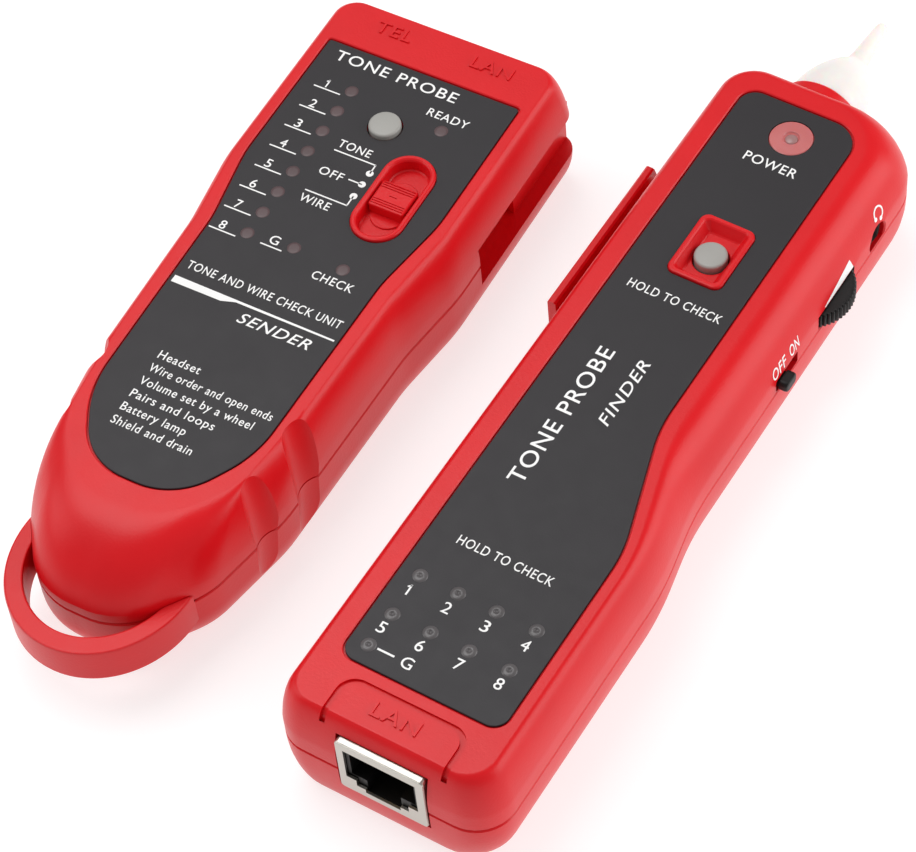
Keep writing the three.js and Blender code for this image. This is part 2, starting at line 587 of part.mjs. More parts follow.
  // Network jack: a metal shield round a black housing.
  const shieldWall = 0.4;
  const jackLowHere = Math.max(jackLow, boardTop + 0.1);
  const shieldOuter = box(
    [RECEIVER_JACK_X - JACK.width / 2, faceY, jackLowHere],
    [RECEIVER_JACK_X + JACK.width / 2, faceY + JACK.depth, RECEIVER_JACK_TOP],
  );
  const shieldInner = box(
    [RECEIVER_JACK_X - JACK.width / 2 + shieldWall, faceY + shieldWall, jackLowHere + shieldWall],
    [RECEIVER_JACK_X + JACK.width / 2 - shieldWall, faceY + JACK.depth + 1, RECEIVER_JACK_TOP - shieldWall],
  );
  const shieldMouth = join(
    box([RECEIVER_JACK_X - 6.2, faceY - 1, jackLow + 4], [RECEIVER_JACK_X + 6.2, faceY + 1, jackLow + 11.6]),
    box([RECEIVER_JACK_X - 3.4, faceY - 1, jackLow - 1], [RECEIVER_JACK_X + 3.4, faceY + 1, jackLow + 5]),
  );
  const jackShield = cut(shieldOuter, shieldInner, shieldMouth);
  group.add(mesh('receiver_jack_shield', jackShield, COLOUR.metal, 0.35, 0.9));
  const insert = {
    width: JACK.width - 2 * shieldWall - 0.3,
    height: RECEIVER_JACK_TOP - jackLowHere - 2 * shieldWall - 0.3,
    depth: JACK.depth - shieldWall - 0.6,
  };
  const insertLow = jackLowHere + shieldWall + 0.15;
  const insertBody = jackHousing(insert, RECEIVER_JACK_X, faceY + shieldWall + 0.2, insertLow, 1, PLUG.width);
  group.add(mesh('receiver_jack_insert', insertBody, COLOUR.black));

  // Lamps.
  lampSpots.forEach((spot, index) => {
    const name = `receiver_lamp_${index + 1}`;
    group.add(mesh(name, lamp(spot, LAMP_R, boardTop, unit.deckZ - LABEL_RECESS - 0.1), COLOUR.lamp, 0.2));
  });
  const groundLamp = lamp(RECEIVER_GROUND_LAMP, LAMP_R, boardTop, unit.deckZ - LABEL_RECESS - 0.1);
  group.add(mesh('receiver_lamp_ground', groundLamp, COLOUR.lamp, 0.2));
  const powerLamp = lamp(POWER_LAMP, POWER_LAMP_R, boardTop, unit.deckZ - LABEL_RECESS - 0.1);
  group.add(mesh('receiver_lamp_power', powerLamp, COLOUR.lamp, 0.2));

  // Test button and its switch.
  const wellUnder = unit.deckZ - 1.6 - WELL_PLATE;
  const testButton = pushButton(TEST_BUTTON, unit.deckZ - 0.1, wellUnder - GAP, 14.2);
  group.add(mesh('receiver_test_button', testButton, COLOUR.grey));
  group.add(mesh('receiver_test_switch', pushSwitch(TEST_BUTTON, boardTop, 12.8), COLOUR.black));

  // Volume wheel on its control, the power switch and its knob, and the headphone socket.
  const wheelLow = SIDE_CONTROL_Z - WHEEL.thick / 2;
  const wheelTeeth = 36;
  const knurl = Array.from({ length: wheelTeeth }, (_, index) => {
    const angle = (index * 2 * Math.PI) / wheelTeeth;
    const radius = index % 2 ? WHEEL.r : WHEEL.r - 0.35;
    return new THREE.Vector2(WHEEL.x + radius * Math.cos(angle), WHEEL.y + radius * Math.sin(angle));
  });
  const wheelDisc = solid(
    new THREE.ExtrudeGeometry(new THREE.Shape(knurl), { depth: WHEEL.thick, bevelEnabled: false })
      .translate(0, 0, wheelLow),
  );
  const wheelShaft = 1.5;
  group.add(mesh(
    'receiver_volume_wheel',
    cut(wheelDisc, rod([WHEEL.x, WHEEL.y], wheelShaft + GAP / 2, wheelLow - 1, wheelLow + 2.2)),
    COLOUR.black, 0.6,
  ));
  const volumeControl = join(
    box([WHEEL.x - 6.5, WHEEL.y - 5, boardTop + 0.1], [WHEEL.x + 2, WHEEL.y + 5, wheelLow - GAP]),
    rod([WHEEL.x, WHEEL.y], wheelShaft, wheelLow - 1, wheelLow + 1.9),
  );
  group.add(mesh('receiver_volume_control', volumeControl, COLOUR.steel, 0.4, 0.4));
  const switchFront = wallX - WALL - 1.6;
  const switchBlock = (backX, frontX, halfY, lowZ, highZ) => box(
    [backX, POWER_SLOT.y - halfY, lowZ], [frontX, POWER_SLOT.y + halfY, highZ],
  );
  const powerSwitch = cut(
    switchBlock(switchFront - 4.4, switchFront, 5, boardTop + 0.1, SIDE_CONTROL_Z + 2.4),
    switchBlock(switchFront - 2, switchFront + 1, 3.9, SIDE_CONTROL_Z - 1.1, SIDE_CONTROL_Z + 1.1),
  );
  group.add(mesh('receiver_power_switch', powerSwitch, COLOUR.steel, 0.4, 0.6));
  const knobLowY = POWER_SLOT.y - POWER_SLOT.length / 2 + GAP;
  const knobHighY = knobLowY + POWER_KNOB.length;
  const powerKnob = box(
    [switchFront - 1.6, knobLowY, SIDE_CONTROL_Z - POWER_KNOB.height / 2 + GAP],
    [wallX + POWER_KNOB.proud, knobHighY, SIDE_CONTROL_Z + POWER_KNOB.height / 2 - GAP],
  );
  const knobHead = box(
    [wallX + 0.3, knobLowY, SIDE_CONTROL_Z - POWER_KNOB.height / 2],
    [wallX + POWER_KNOB.proud, knobHighY, SIDE_CONTROL_Z + POWER_KNOB.height / 2],
  );
  group.add(mesh('receiver_power_knob', join(powerKnob, knobHead), COLOUR.black, 0.6));
  const socketFront = wallX - WALL - GAP;
  const headphoneSocket = cut(
    box(
      [socketFront - 10, HEADPHONE_Y - 3.2, boardTop + 0.1],
      [socketFront, HEADPHONE_Y + 3.2, SIDE_CONTROL_Z + 2.8],
    ),
    barAlongX(HEADPHONE_Y, SIDE_CONTROL_Z, 1.8, socketFront - 8.5, socketFront + 1, 12),
  );
  group.add(mesh('receiver_headphone_socket', headphoneSocket, COLOUR.black));

  // Speaker on the floor of the bottom shell.
  const speaker = turned([SPEAKER.x, SPEAKER.y], [
    [0, FLOOR + 0.8], [SPEAKER.r - 2.5, FLOOR + 0.8], [SPEAKER.r - 2, FLOOR + 0.1], [SPEAKER.r, FLOOR + 0.1],
    [SPEAKER.r, FLOOR + 1.6], [SPEAKER.r - 3.5, FLOOR + 3.1], [0, FLOOR + 3.1],
  ], 18);
  group.add(mesh('receiver_speaker', speaker, COLOUR.black, 0.6));

  // Probe nose: a hollow milky plastic cap with the pick-up core inside it.
  const noseFrom = wallY + COLLAR_OUT + GAP;
  const along = (profile, sides) => {
    const points = profile.map(([radius, y]) => new THREE.Vector2(radius, y));
    return solid(new THREE.LatheGeometry(points, sides).translate(NOSE_AXIS.x, wallY, NOSE_AXIS.z));
  };
  const noseStart = noseFrom - wallY;
  const noseSkin = along([
    [0, -5], [NOSE_NECK_R, -5], [NOSE_NECK_R, noseStart], [NOSE_PROFILE[0][0], noseStart],
    ...NOSE_PROFILE, [0, NOSE_LENGTH],
  ], 20);
  const coreRoom = along([[0, -6], [1.9, -6], [1.9, 11], [0.9, 12], [0.9, 22], [0, 22]], 12);
  group.add(mesh('receiver_probe_nose', cut(noseSkin, coreRoom), COLOUR.milk, 0.35));
  const core = along(
    [[0, -5.5], [1.5, -5.5], [1.5, 10.6], [0.6, 12], [0.6, 21.6], [0, 21.6]], SMALL_ROUND,
  );
  group.add(mesh('receiver_probe_core', core, COLOUR.brass, 0.3, 0.9));

  RECEIVER_SCREWS.forEach((spot, index) => {
    group.add(mesh(`receiver_screw_${index + 1}`, screw(spot), COLOUR.steel, 0.3, 0.9));
  });
  return group;
}

// ---------------------------------------------------------------- emitter

function emitter() {
  const unit = EMITTER;
  const group = new THREE.Group();
  const boardTop = EMITTER_BOARD_Z + BOARD_THICK;
  const testLamps = Array.from({ length: 8 }, (_, index) => (
    [EMITTER_LAMP_X, EMITTER_LAMP_Y - index * LAMP_PITCH]
  ));
  const otherLamps = {
    ground: EMITTER_GROUND_LAMP, status: EMITTER_STATUS_LAMP, verify: EMITTER_VERIFY_LAMP,
  };
  const towers = EMITTER_SCREWS.map((spot) => screwTower(spot, unit));
  const modeFloor = unit.deckZ - 2.1;
  const modeWell = well(MODE_WELL, unit, modeFloor);
  const portY = unit.wall[0][1];

  const portHole = (jack, x) => box(
    [x - jack.width / 2 - GAP, portY - 6, EMITTER_JACK_Z - GAP],
    [x + jack.width / 2 + GAP, portY + 3, EMITTER_JACK_Z + jack.height + GAP],
  );
  const portHoles = [portHole(JACK, EMITTER_JACK_X), portHole(PHONE_JACK, PHONE_JACK_X)];
  const scallops = (tilt) => SCALLOP.spots.flatMap(([x, y]) => [-1, 1].map((side) => {
    const finger = new THREE.CylinderGeometry(SCALLOP.r, SCALLOP.r, BEYOND, 24).rotateX(Math.PI / 2);
    finger.rotateY(-side * tilt).rotateX(-SCALLOP.run);
    return solid(finger.translate(side * x, y, unit.seamZ));
  }));
  const channelBacking = (lowZ, highZ) => box(
    [CHANNEL.wallX, CHANNEL.from - 1.5, lowZ], [CHANNEL.shallowX + 1, portY - 1, highZ],
  );
  const channelWay = join(
    box([CHANNEL.shallowX, CHANNEL.from, CHANNEL.lowZ], [30, portY + 3, CHANNEL.highZ]),
    box([CHANNEL.deepX, CHANNEL.from, CHANNEL.lowZ], [30, CHANNEL.stepY, CHANNEL.highZ]),
  );

  // Top shell.
  const lampHoles = [...testLamps, ...Object.values(otherLamps)].map((spot) => (
    rod(spot, LAMP_R + GAP, unit.deckZ - 4, unit.deckZ + 1, SMALL_ROUND)
  ));
  const modeSlot = box(
    [MODE_WELL.x - 1.3, MODE_WELL.y - 4.6, modeFloor - WELL_PLATE - 1],
    [MODE_WELL.x + 1.3, MODE_WELL.y + 4.6, modeFloor + 1],
  );
  const topShell = cut(
    join(
      topShellBlank(unit), ...towers.map((tower) => tower.topAdded), modeWell.added,
      channelBacking(unit.seamZ + HALF_SEAM, CHANNEL.roofZ),
    ),
    ...towers.map((tower) => tower.topTaken), modeWell.taken, modeSlot, ...lampHoles, ...portHoles,
    ...scallops(SCALLOP.tilt), channelWay,
    rod(EMITTER_BUTTON, BUTTON_R + GAP, unit.deckZ - 6, unit.deckZ + 1, 20),
  );
  group.add(mesh('emitter_top_shell', topShell, COLOUR.red));

  // Bottom shell with the hanging loop moulded on its lower end.
  const loopRing = cut(
    elliptic(LOOP.x, LOOP.y, LOOP.outer, LOOP.lowZ, LOOP.highZ),
    elliptic(LOOP.x, LOOP.y, LOOP.inner, LOOP.lowZ - 1, LOOP.highZ + 1),
    box([-BEYOND, LOOP.rootY, 0], [BEYOND, BEYOND, BEYOND]),
    prism(inset(unit.wall, 1), LOOP.lowZ - 1, unit.seamZ - HALF_SEAM),
    prism(inset(unit.wall, -GAP), unit.seamZ - HALF_SEAM, LOOP.highZ + 1),
  );
  const bottomShell = cut(
    join(
      cut(
        join(
          bottomShellBlank(unit), ...towers.map((tower) => tower.bottomAdded),
          channelBacking(FLOOR - 1, unit.seamZ - HALF_SEAM).intersect(bottomOutside(unit)),
        ),
        ...scallops(0),
      ),
      loopRing,
    ),
    ...towers.map((tower) => tower.bottomTaken), doorRecess(EMITTER_BATTERY), ...portHoles, channelWay,
  );
  group.add(mesh('emitter_bottom_shell', bottomShell, COLOUR.red));

  const labelLow = unit.deckZ - LABEL_RECESS + 0.1;
  const labelFilm = cut(
    prism(inset(unit.label, GAP), labelLow, labelLow + LABEL_THICK),
    modeWell.labelHole,
    rod(EMITTER_BUTTON, BUTTON_R + GAP, unit.deckZ - 2, unit.deckZ + 1, 20),
  );
  group.add(mesh('emitter_label', labelFilm, COLOUR.label, 0.4));

  const board = cut(
    prism([[-19, -46, 1], [17.8, -46, 1], [17.8, 6.6, 1], [-19, 6.6, 1]], EMITTER_BOARD_Z, boardTop, 2),
    ...EMITTER_SCREWS.map((spot) => rod(spot, SCREW.bossR + GAP, 0, 30)),
  );
  group.add(mesh('emitter_board', board, COLOUR.board, 0.5));
  group.add(mesh('emitter_battery', battery(EMITTER_BATTERY), COLOUR.battery));
  group.add(mesh('emitter_battery_snap', batterySnap(EMITTER_BATTERY), COLOUR.black));
  group.add(mesh('emitter_battery_door', batteryDoor(EMITTER_BATTERY), COLOUR.red));

  const jackFace = portY - EMITTER_JACK_SET_BACK;
  const networkJack = jackHousing(JACK, EMITTER_JACK_X, jackFace, EMITTER_JACK_Z, -1, PLUG.width);
  group.add(mesh('emitter_network_jack', networkJack, COLOUR.black));
  const phoneJack = jackHousing(PHONE_JACK, PHONE_JACK_X, jackFace, EMITTER_JACK_Z, -1, PLUG.phoneWidth);
  group.add(mesh('emitter_phone_jack', phoneJack, COLOUR.black));

  testLamps.forEach((spot, index) => {
    const name = `emitter_lamp_${index + 1}`;
    group.add(mesh(name, lamp(spot, LAMP_R, boardTop, unit.deckZ - LABEL_RECESS - 0.1), COLOUR.lamp, 0.2));
  });
  Object.entries(otherLamps).forEach(([use, spot]) => {
    const made = lamp(spot, LAMP_R, boardTop, unit.deckZ - LABEL_RECESS - 0.1);
    group.add(mesh(`emitter_lamp_${use}`, made, COLOUR.lamp, 0.2));
  });

  const deckUnder = unit.deckZ - WALL;
  const pushedButton = pushButton(EMITTER_BUTTON, unit.deckZ + 1, deckUnder - GAP, 22.3);
  group.add(mesh('emitter_push_button', pushedButton, COLOUR.grey));
  group.add(mesh('emitter_push_switch', pushSwitch(EMITTER_BUTTON, boardTop, 21), COLOUR.black));

  // Three-position mode switch and its ribbed knob.
  const plateUnder = modeFloor - WELL_PLATE;
  const modeSwitch = box(
    [MODE_WELL.x - 4, MODE_WELL.y - 7, boardTop + 0.1], [MODE_WELL.x + 4, MODE_WELL.y + 7, plateUnder - 2],
  );
  group.add(mesh('emitter_mode_switch', modeSwitch, COLOUR.steel, 0.4, 0.6));
  const knobAt = (halfX, halfY, lowZ, highZ) => box(
    [MODE_WELL.x - halfX, MODE_WELL.y - halfY, lowZ], [MODE_WELL.x + halfX, MODE_WELL.y + halfY, highZ],
  );
  const ribs = [-2.2, -1.3, 1.3, 2.2].map((offset) => box(
    [MODE_WELL.x - 2.7, MODE_WELL.y + offset - 0.2, unit.deckZ],
    [MODE_WELL.x + 2.7, MODE_WELL.y + offset + 0.2, unit.deckZ + 1],
  ));
  const modeKnob = cut(
    join(
      knobAt(3.3, 2.9, modeFloor + GAP, unit.deckZ + 0.4),
      knobAt(1, 1.3, plateUnder - 0.8, modeFloor + 1),
      knobAt(3.2, 2.6, plateUnder - 1.2, plateUnder - GAP),
    ),
    ...ribs,
  );
  group.add(mesh('emitter_mode_knob', modeKnob, COLOUR.red));

  EMITTER_SCREWS.forEach((spot, index) => {
    group.add(mesh(`emitter_screw_${index + 1}`, screw(spot), COLOUR.steel, 0.3, 0.9));
  });
  return group;
}

// ---------------------------------------------------------------- the kit

const receiverGroup = receiver();
const emitterGroup = emitter();
emitterGroup.position.set(EMITTER_AT[0], EMITTER_AT[1], 0);
emitterGroup.rotation.z = THREE.MathUtils.degToRad(EMITTER_TURN_DEG);

const units = new THREE.Group();
units.add(receiverGroup, emitterGroup);
const kit = new THREE.Group();
kit.add(units);
kit.updateMatrixWorld(true);
const footprint = new THREE.Box3().setFromObject(units, true);
const middle = footprint.getCenter(new THREE.Vector3());
units.position.set(-middle.x, -middle.y, -footprint.min.z);

export default kit;
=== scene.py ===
import json
import math

import bpy
import numpy as np
from mathutils import Matrix, Vector


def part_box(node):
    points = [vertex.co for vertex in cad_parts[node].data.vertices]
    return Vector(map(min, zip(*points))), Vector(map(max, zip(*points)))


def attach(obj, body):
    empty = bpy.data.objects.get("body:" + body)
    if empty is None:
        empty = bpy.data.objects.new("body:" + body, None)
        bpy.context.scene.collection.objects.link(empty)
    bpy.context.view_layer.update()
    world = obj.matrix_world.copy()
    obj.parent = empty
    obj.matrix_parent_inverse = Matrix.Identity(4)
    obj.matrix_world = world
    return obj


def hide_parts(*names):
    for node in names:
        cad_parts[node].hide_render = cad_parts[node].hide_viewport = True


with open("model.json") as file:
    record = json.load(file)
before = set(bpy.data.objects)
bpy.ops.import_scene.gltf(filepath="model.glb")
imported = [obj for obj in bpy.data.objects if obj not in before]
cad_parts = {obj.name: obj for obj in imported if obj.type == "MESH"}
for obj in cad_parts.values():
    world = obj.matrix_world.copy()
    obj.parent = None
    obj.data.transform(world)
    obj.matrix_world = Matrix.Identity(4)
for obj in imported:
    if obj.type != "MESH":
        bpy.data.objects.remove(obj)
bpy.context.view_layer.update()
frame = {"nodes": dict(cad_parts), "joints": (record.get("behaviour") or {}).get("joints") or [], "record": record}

# ---- driving dimensions (mm)

WALL = 2.0
GAP = 0.3
HALF_SEAM = 0.15
SEAM_CHAMFER = 0.25
SMALLEST_CORNER = 0.3
ARC_STEPS = 10
SIDE_STEPS = 18
SHOULDER_STEPS = 14
LABEL_RECESS = 0.6
LABEL_TOP = 0.1              # how far the film's top lies under the deck
LABEL_EDGE = 0.18            # how much the recess opens out at the deck
LABEL_STEPS = 16
FILM = {"thick": 0.4, "bevel": 0.1}
FLOOR = 3.0                  # thickness of each unit's back
RIM_HEIGHT = 0.5
BEYOND = 60.0                # past anything in a unit

# Outlines are (x, y, corner radius), anticlockwise.
RECEIVER = {
    "deck_z": 25.0, "crease_z": 16.5, "seam_z": 13.0, "fillet_z": 12.0, "bend": 70.0,
    "wall": [(-6.9, -12, 6), (34.2, -12, 7), (34.2, 41, 60), (31.2, 57, 60), (31.2, 141, 11), (-6.9, 141, 8)],
    "base": [
        (-2.4, -9.4, 4), (29.5, -9.4, 8), (29.5, 41, 50), (26.5, 57, 50), (26.5, 137, 9), (-2.4, 137, 5),
    ],
    "deck": [(-3.9, -9, 4), (30.8, -9, 5), (30.8, 38, 45), (24.2, 62, 45), (24.2, 137, 10), (-3.9, 137, 5)],
    "label": [
        (-0.9, 0, 3), (29.2, 0, 3), (29.2, 38.2, 28), (22.2, 62, 28), (22.2, 133.6, 5.5), (-0.9, 133.6, 3.5),
    ],
}


def mirrored(half):
    """An outline from its right half, listed from the lower end up; the left half follows by symmetry."""
    return half + [(-x, y, radius) for x, y, radius in reversed(half)]


EMITTER = {
    "deck_z": 26.5, "crease_z": 15.5, "seam_z": 13.0, "fillet_z": 8.0, "bend": 66.0,
    "wall": mirrored([
        (8, -117, 13), (17.4, -104, 16), (21, -86, 30), (22, -48, 40), (24.1, -33, 40), (24.1, 11.6, 4),
    ]),
    "base": mirrored([
        (6.5, -109.5, 9), (13, -100, 12), (16.2, -84, 25), (17.2, -48, 36), (19.2, -33, 36), (19.2, 7.5, 3),
    ]),
    "deck": mirrored([
        (8.4, -102, 12), (16.6, -91, 15), (18.3, -72, 30), (19.1, -45, 30), (21, -30, 30), (21, 9.6, 4),
    ]),
    "label": mirrored([
        (8.6, -97.9, 12.5), (16.2, -84.5, 22), (16.9, -44.5, 30), (19.4, -29.5, 30), (19.4, 0, 0.8),
    ]),
}

LAMP_PITCH = 5.08
EMITTER_LAMPS = [(-9.4, -9.4 - LAMP_PITCH * row) for row in range(8)]
EMITTER_OTHER_LAMPS = [(-0.5, -44.3), (9.3, -10.6), (9.4, -44.8)]
RECEIVER_COLUMNS = [3.06, 10.1, 17.2, 24.5]
RECEIVER_ROWS = [18.7, 10.4]
RECEIVER_GROUND_LAMP = (2.8, 3.8)
POWER_LAMP = (11.6, 126.5)
POWER_WINDOW_R = 3.8
LAMP_WELL_R = 2.8            # hole in the shell under the power window
BUTTON_R = 2.9
BUTTON_EDGE = 0.5
BUTTON_CROWN = 0.12
BUTTON_CHAMFER = 0.2
EMITTER_BUTTON = (0.0, -14.0)
TEST_BUTTON = (11.8, 97.6)
TEST_CAP = {"below_deck": 0.1, "low": 14.3}
PUSH_CAP = {"above_deck": 1.0, "low": 22.5}
TEST_WELL = {
    "x": 11.75, "y": 97.9, "width": 10.3, "length": 13.9, "corner": 1.6, "rim": 1.1,
    "depth": 1.6, "slope": 1.0,
}
MODE_WELL = {
    "x": 9.4, "y": -27.6, "width": 9.7, "length": 20.0, "corner": 4.84, "rim": 1.0,
    "depth": 2.1, "slope": 0.3,
}
WELL_FLOOR = 1.9
WELL_FOOT = (0.25, 0.2)      # the fillet round a well's floor: inwards, up
# Rounding of a well's rim, outside and inside: (inwards, above the deck).
WELL_OUTSIDE = [(0, 0.2), (0.12, 0.4), (0.35, RIM_HEIGHT)]
WELL_INSIDE = [(0.1, 0), (-0.05, 0.3), (-0.3, RIM_HEIGHT), (-0.6, RIM_HEIGHT + 0.3)]
MODE_SLOT = {"width": 2.6, "length": 9.2}
MODE_KNOB = {
    "width": 6.9, "length": 5.8, "corner": 0.5, "above_deck": 0.4, "thick": 2.2,
    "rib_half": 3.1, "rib_cut": 0.24, "rib_deep": 0.2, "ribs": (-2.4, -1.9, -1.4, 1.4, 1.9, 2.4),
    "mark_half": 0.75, "mark_cut": 0.2,
}
MODE_SKIRT = {"width": 6.3, "length": 10.6, "corner": 3.1}
MODE_STEM = {"width": 2.0, "length": 2.6, "from": 2.1, "to": 4.2}
SIDE_Z = 14.8
HEADPHONE = {"y": 121.5, "r": 2.8, "socket_r": 2.7, "bore_r": 1.8}
WHEEL = {"x": 26.0, "y": 106.3, "r": 8.0, "thick": 3.0, "teeth": 60, "tooth": 0.4, "steps": 6}
# The wheel's edge from its flat face: (inwards, tooth depth, down from the face).
WHEEL_EDGE = [(0.9, 0, 0), (0.25, 0.3, 0.05), (0, WHEEL["tooth"], 0.3)]
# The power slot and knob as seen from the right: width runs along the unit and length is upwards.
POWER_SLOT = {"y": 88.6, "width": 7.6, "length": 2.8, "corner": 0.5}
POWER_KNOB = {"width": 3.6, "length": 2.2, "corner": 0.8}
# The power knob along its stem: (share of its section, out from the wall).
POWER_KNOB_LEVELS = [(0.8, -5), (0.8, 0.2), (1.0, 0.3), (1.0, 1.4), (0.93, 1.75), (0.75, 1.9)]
JACK = {"x": 14.2, "low": 8.6, "top": 21.9, "width": 16.2, "face_y": -12.3, "depth": 15.0, "metal": 0.4,
        "corner": 0.7}
# The jack's mouth: half widths for the plug, its shoulders and its latch, and heights over the jack's foot.
JACK_MOUTH = {
    "plug": 6.6, "shoulder": 4.8, "latch": 3.2, "low": 4.0, "high": 11.6, "step": 1.5, "latch_low": 1.6,
}
CONTACTS = {"count": 8, "pitch": 1.02, "width": 0.34, "thick": 0.3}
CONTACT_PATH = [(-9.6, 20.2), (-9.0, 19.4), (-3.2, 16.6), (-1.2, 16.4)]      # (y, z), from the mouth inwards
# The pad over the jack: the groove round it lies between two rounded rectangles.
PAD_OUTER = {"y": -10.1, "width": 23.2, "length": 16, "corner": 3.4}
PAD_INNER = {"y": -11.2, "width": 21.1, "length": 16.2, "corner": 2.4}
PAD_NEAR_END = -10.7
PORTS = [{"x": 9.2, "width": 16.2}, {"x": -9.9, "width": 13.2}]
PORT_LOW, PORT_HIGH = 3.4, 16.7
NOSE = {"x": 9.5, "z": 14.5, "end_y": 141.0, "collar_r": 8.0, "collar_out": 1.0, "neck_r": 6.0}
NOSE_PROFILE = [
    (7.0, 1.6), (7.12, 2.4), (7.0, 4.0), (6.6, 5.8), (5.9, 7.9), (4.9, 10.1), (3.7, 12.1), (2.6, 13.4),
    (2.0, 14.4), (1.82, 15.8), (1.5, 19.6), (1.2, 23.6), (0.95, 24.5), (0.5, 24.93), (0.0, 25.0),
]
RAIL = {
    "outer": -12.8, "lip": 1.6, "inner": -5.0, "from": 84.0, "to": 121.0, "slope": 2.6, "low": 5.2,
    "floor": 1.6, "top": 12.6, "bend": 1.8, "edge": 0.35, "heel": 0.8, "heel_soft": 0.25,
}
CHANNEL = {
    "from": -25.0, "step_y": -8.4, "shallow_x": 21.4, "deep_x": 20.0, "low": 8.1, "high": 17.4, "roof": 19.0,
    "wall_x": 18.2,
}
LOOP = {
    "x": -0.5, "y": -107.2, "outer": (16.3, 18.2), "inner": (13.2, 14.7), "root_y": -103.5, "low": 7.2,
    "high": 15.0, "soft": 0.5, "bevel": 0.15,
}
SCALLOP = {"r": 4.5, "spots": ((24.4, -79.0), (23.75, -91.2)), "lean": 0.17, "run": 0.1}
DOOR = {"width": 27.4, "length": 51.4, "travel": 6.0, "depth": 2.2, "corner": 1.7, "past_battery": 1.5}
RECEIVER_DOOR = (12.8, 31)   # (middle, battery's near end)
EMITTER_DOOR = (0, -97)
RECEIVER_SCREWS = [(2.2, 130.5), (13.6, 25)]
EMITTER_SCREWS = [(-15.8, -36.5), (15.8, -36.5)]
SCREW_R = 2.4
BATTERY_LENGTH = 46.4
SPEAKER = {"x": 9.0, "y": 112.0, "ring_r": 4.5, "hole_r": 0.8, "holes": 6}
PAD_GROOVE_DEPTH = 0.5

# Turned profiles: (radius, height over the label's top).
POWER_LENS = [
    (POWER_WINDOW_R, -0.4), (POWER_WINDOW_R, -0.06), (POWER_WINDOW_R - 0.15, 0.02), (2.4, 0.05), (1.7, 0.12),
    (1.5, 0.1), (1.35, -0.12), (1.2, -0.22), (0, -0.24),
]
POWER_TIP_PROFILE = [(1.15, -0.23), (1.12, -0.14), (0.9, -0.02), (0.5, 0.08), (0, 0.1)]
DOME_PROFILE = [
    (1.3, -0.02), (1.24, 0.05), (1.0, 0.16), (0.7, 0.24), (0.46, 0.25), (0.36, 0.16), (0.2, 0.04), (0, 0.02),
]
SPOT_PROFILE = [(1.25, -0.03), (1.22, 0.01), (0.8, 0.03), (0, 0.035)]

# Printed words: (text, left, foot, width, height of a capital).
RECEIVER_WORDS = [
    ("POWER", 6.3, 118.6, 10.0, 2.0), ("HOLD TO CHECK", 2.6, 85.1, 17.6, 1.75),
    ("HOLD TO CHECK", 4.7, 26.8, 17.5, 1.75), ("G", 8.9, 2.8, 2.0, 2.1),
]
RECEIVER_NUMBERS = {"feet": (14.5, 6.5), "shift": -0.15, "cap": 2.1}
RECEIVER_TITLE = ("TONE PROBE", 8.1, 41.5, 30.5, 2.9)
RECEIVER_NAME = ("FINDER", 14.5, 58.1, 14.4, 2.1)
SWITCH_WORDS = [("OFF", 84.3, 0.4, 4.6, 2.1), ("ON", 90.2, 0.4, 3.2, 2.1)]
EMITTER_WORDS = [
    ("TONE PROBE", -16.2, -4.05, 24.4, 2.25), ("READY", 5.0, -8.4, 8.0, 1.7), ("TONE", -5.4, -21.4, 6.4, 1.7),
    ("OFF", -5.4, -28.1, 4.6, 1.7), ("WIRE", -5.4, -34.8, 5.9, 1.7), ("G", -5.2, -45.2, 1.8, 1.85),
    ("CHECK", 5.2, -48.6, 7.9, 1.7), ("TONE AND WIRE CHECK UNIT", -15.0, -56.0, 30.2, 1.7),
]
EMITTER_NAME = ("SENDER", -1.3, -62.2, 13.9, 2.1)
EMITTER_NUMBERS = {"x": -14.1, "above": 0.4, "cap": 1.8, "line": (-16.2, -10.9), "drop": 1.55}
FEATURES = [
    ("Headset", 8.1), ("Wire order and open ends", 23.8), ("Volume set by a wheel", 21.8),
    ("Pairs and loops", 16.2), ("Battery lamp", 12.5), ("Shield and drain", 15.5),
]
FEATURE_LINES = {"x": -9.2, "first": -74.5, "pitch": 2.94, "cap": 1.65}
# Printed lines, as (x, y) to (x, y). Those by the mode switch lead from its words to a dot at each stop.
RECEIVER_GROUND_LINE = (4.4, 3.85, 7.5, 3.85, 0.36)
EMITTER_GROUND_LINE = (-6.3, -45.85, -2.1, -45.85)
MODE_LINES = [
    (-5.4, -22.35, 3.0, -22.35), (2.9, -22.3, 2.9, -24.4), (0.2, -27.1, 2.9, -27.1),
    (-5.4, -32.3, 3.0, -32.3), (2.9, -32.3, 2.9, -30.0),
]
MODE_STOPS = {"x": 2.9, "y": (-24.4, -27.1, -30.0), "r": 0.68}
RULE = [(-15.7, -59.65), (-5.9, -59.6), (-3.4, -58.75), (15.7, -58.7), (15.7, -58.35), (-15.7, -58.2)]
WEDGE = {"low": ((102.3, 0.3), (112.4, 0.25)), "high": ((102.2, 0.45), (111.9, 2.3))}
HEADSET = {"y": 122.9, "up": 2.9, "r": 1.3, "from": -80, "to": 200, "thick": 0.34, "pad_r": 0.42}
MOULDED_ENDS = [("TEL", -12.9, 4.7, 7.0, 2.6), ("LAN", 6.4, 4.6, 8.0, 2.6)]
MOULDED_NEAR = ("LAN", 9.6, -7.0, 8.4, 2.6)
MOULDED = {"sunk": 0.05, "rise": 0.32}
SLANT = 0.25
SWITCH_SLANT = 0.2
INK_THICK = 0.03
INK_LIFT = 0.005             # clear of the film, so the two don't share a face

# Angles in degrees, and the way the camera looks over the ground.
CAMERA = {
    "spot": (190.4, -218.7, 475.0), "dip": 53.7, "roll": -6.47, "ahead": (-0.5969, 0.8023), "sensor": 36.0,
    "lens": 134.64,
}

# ---- where the units are


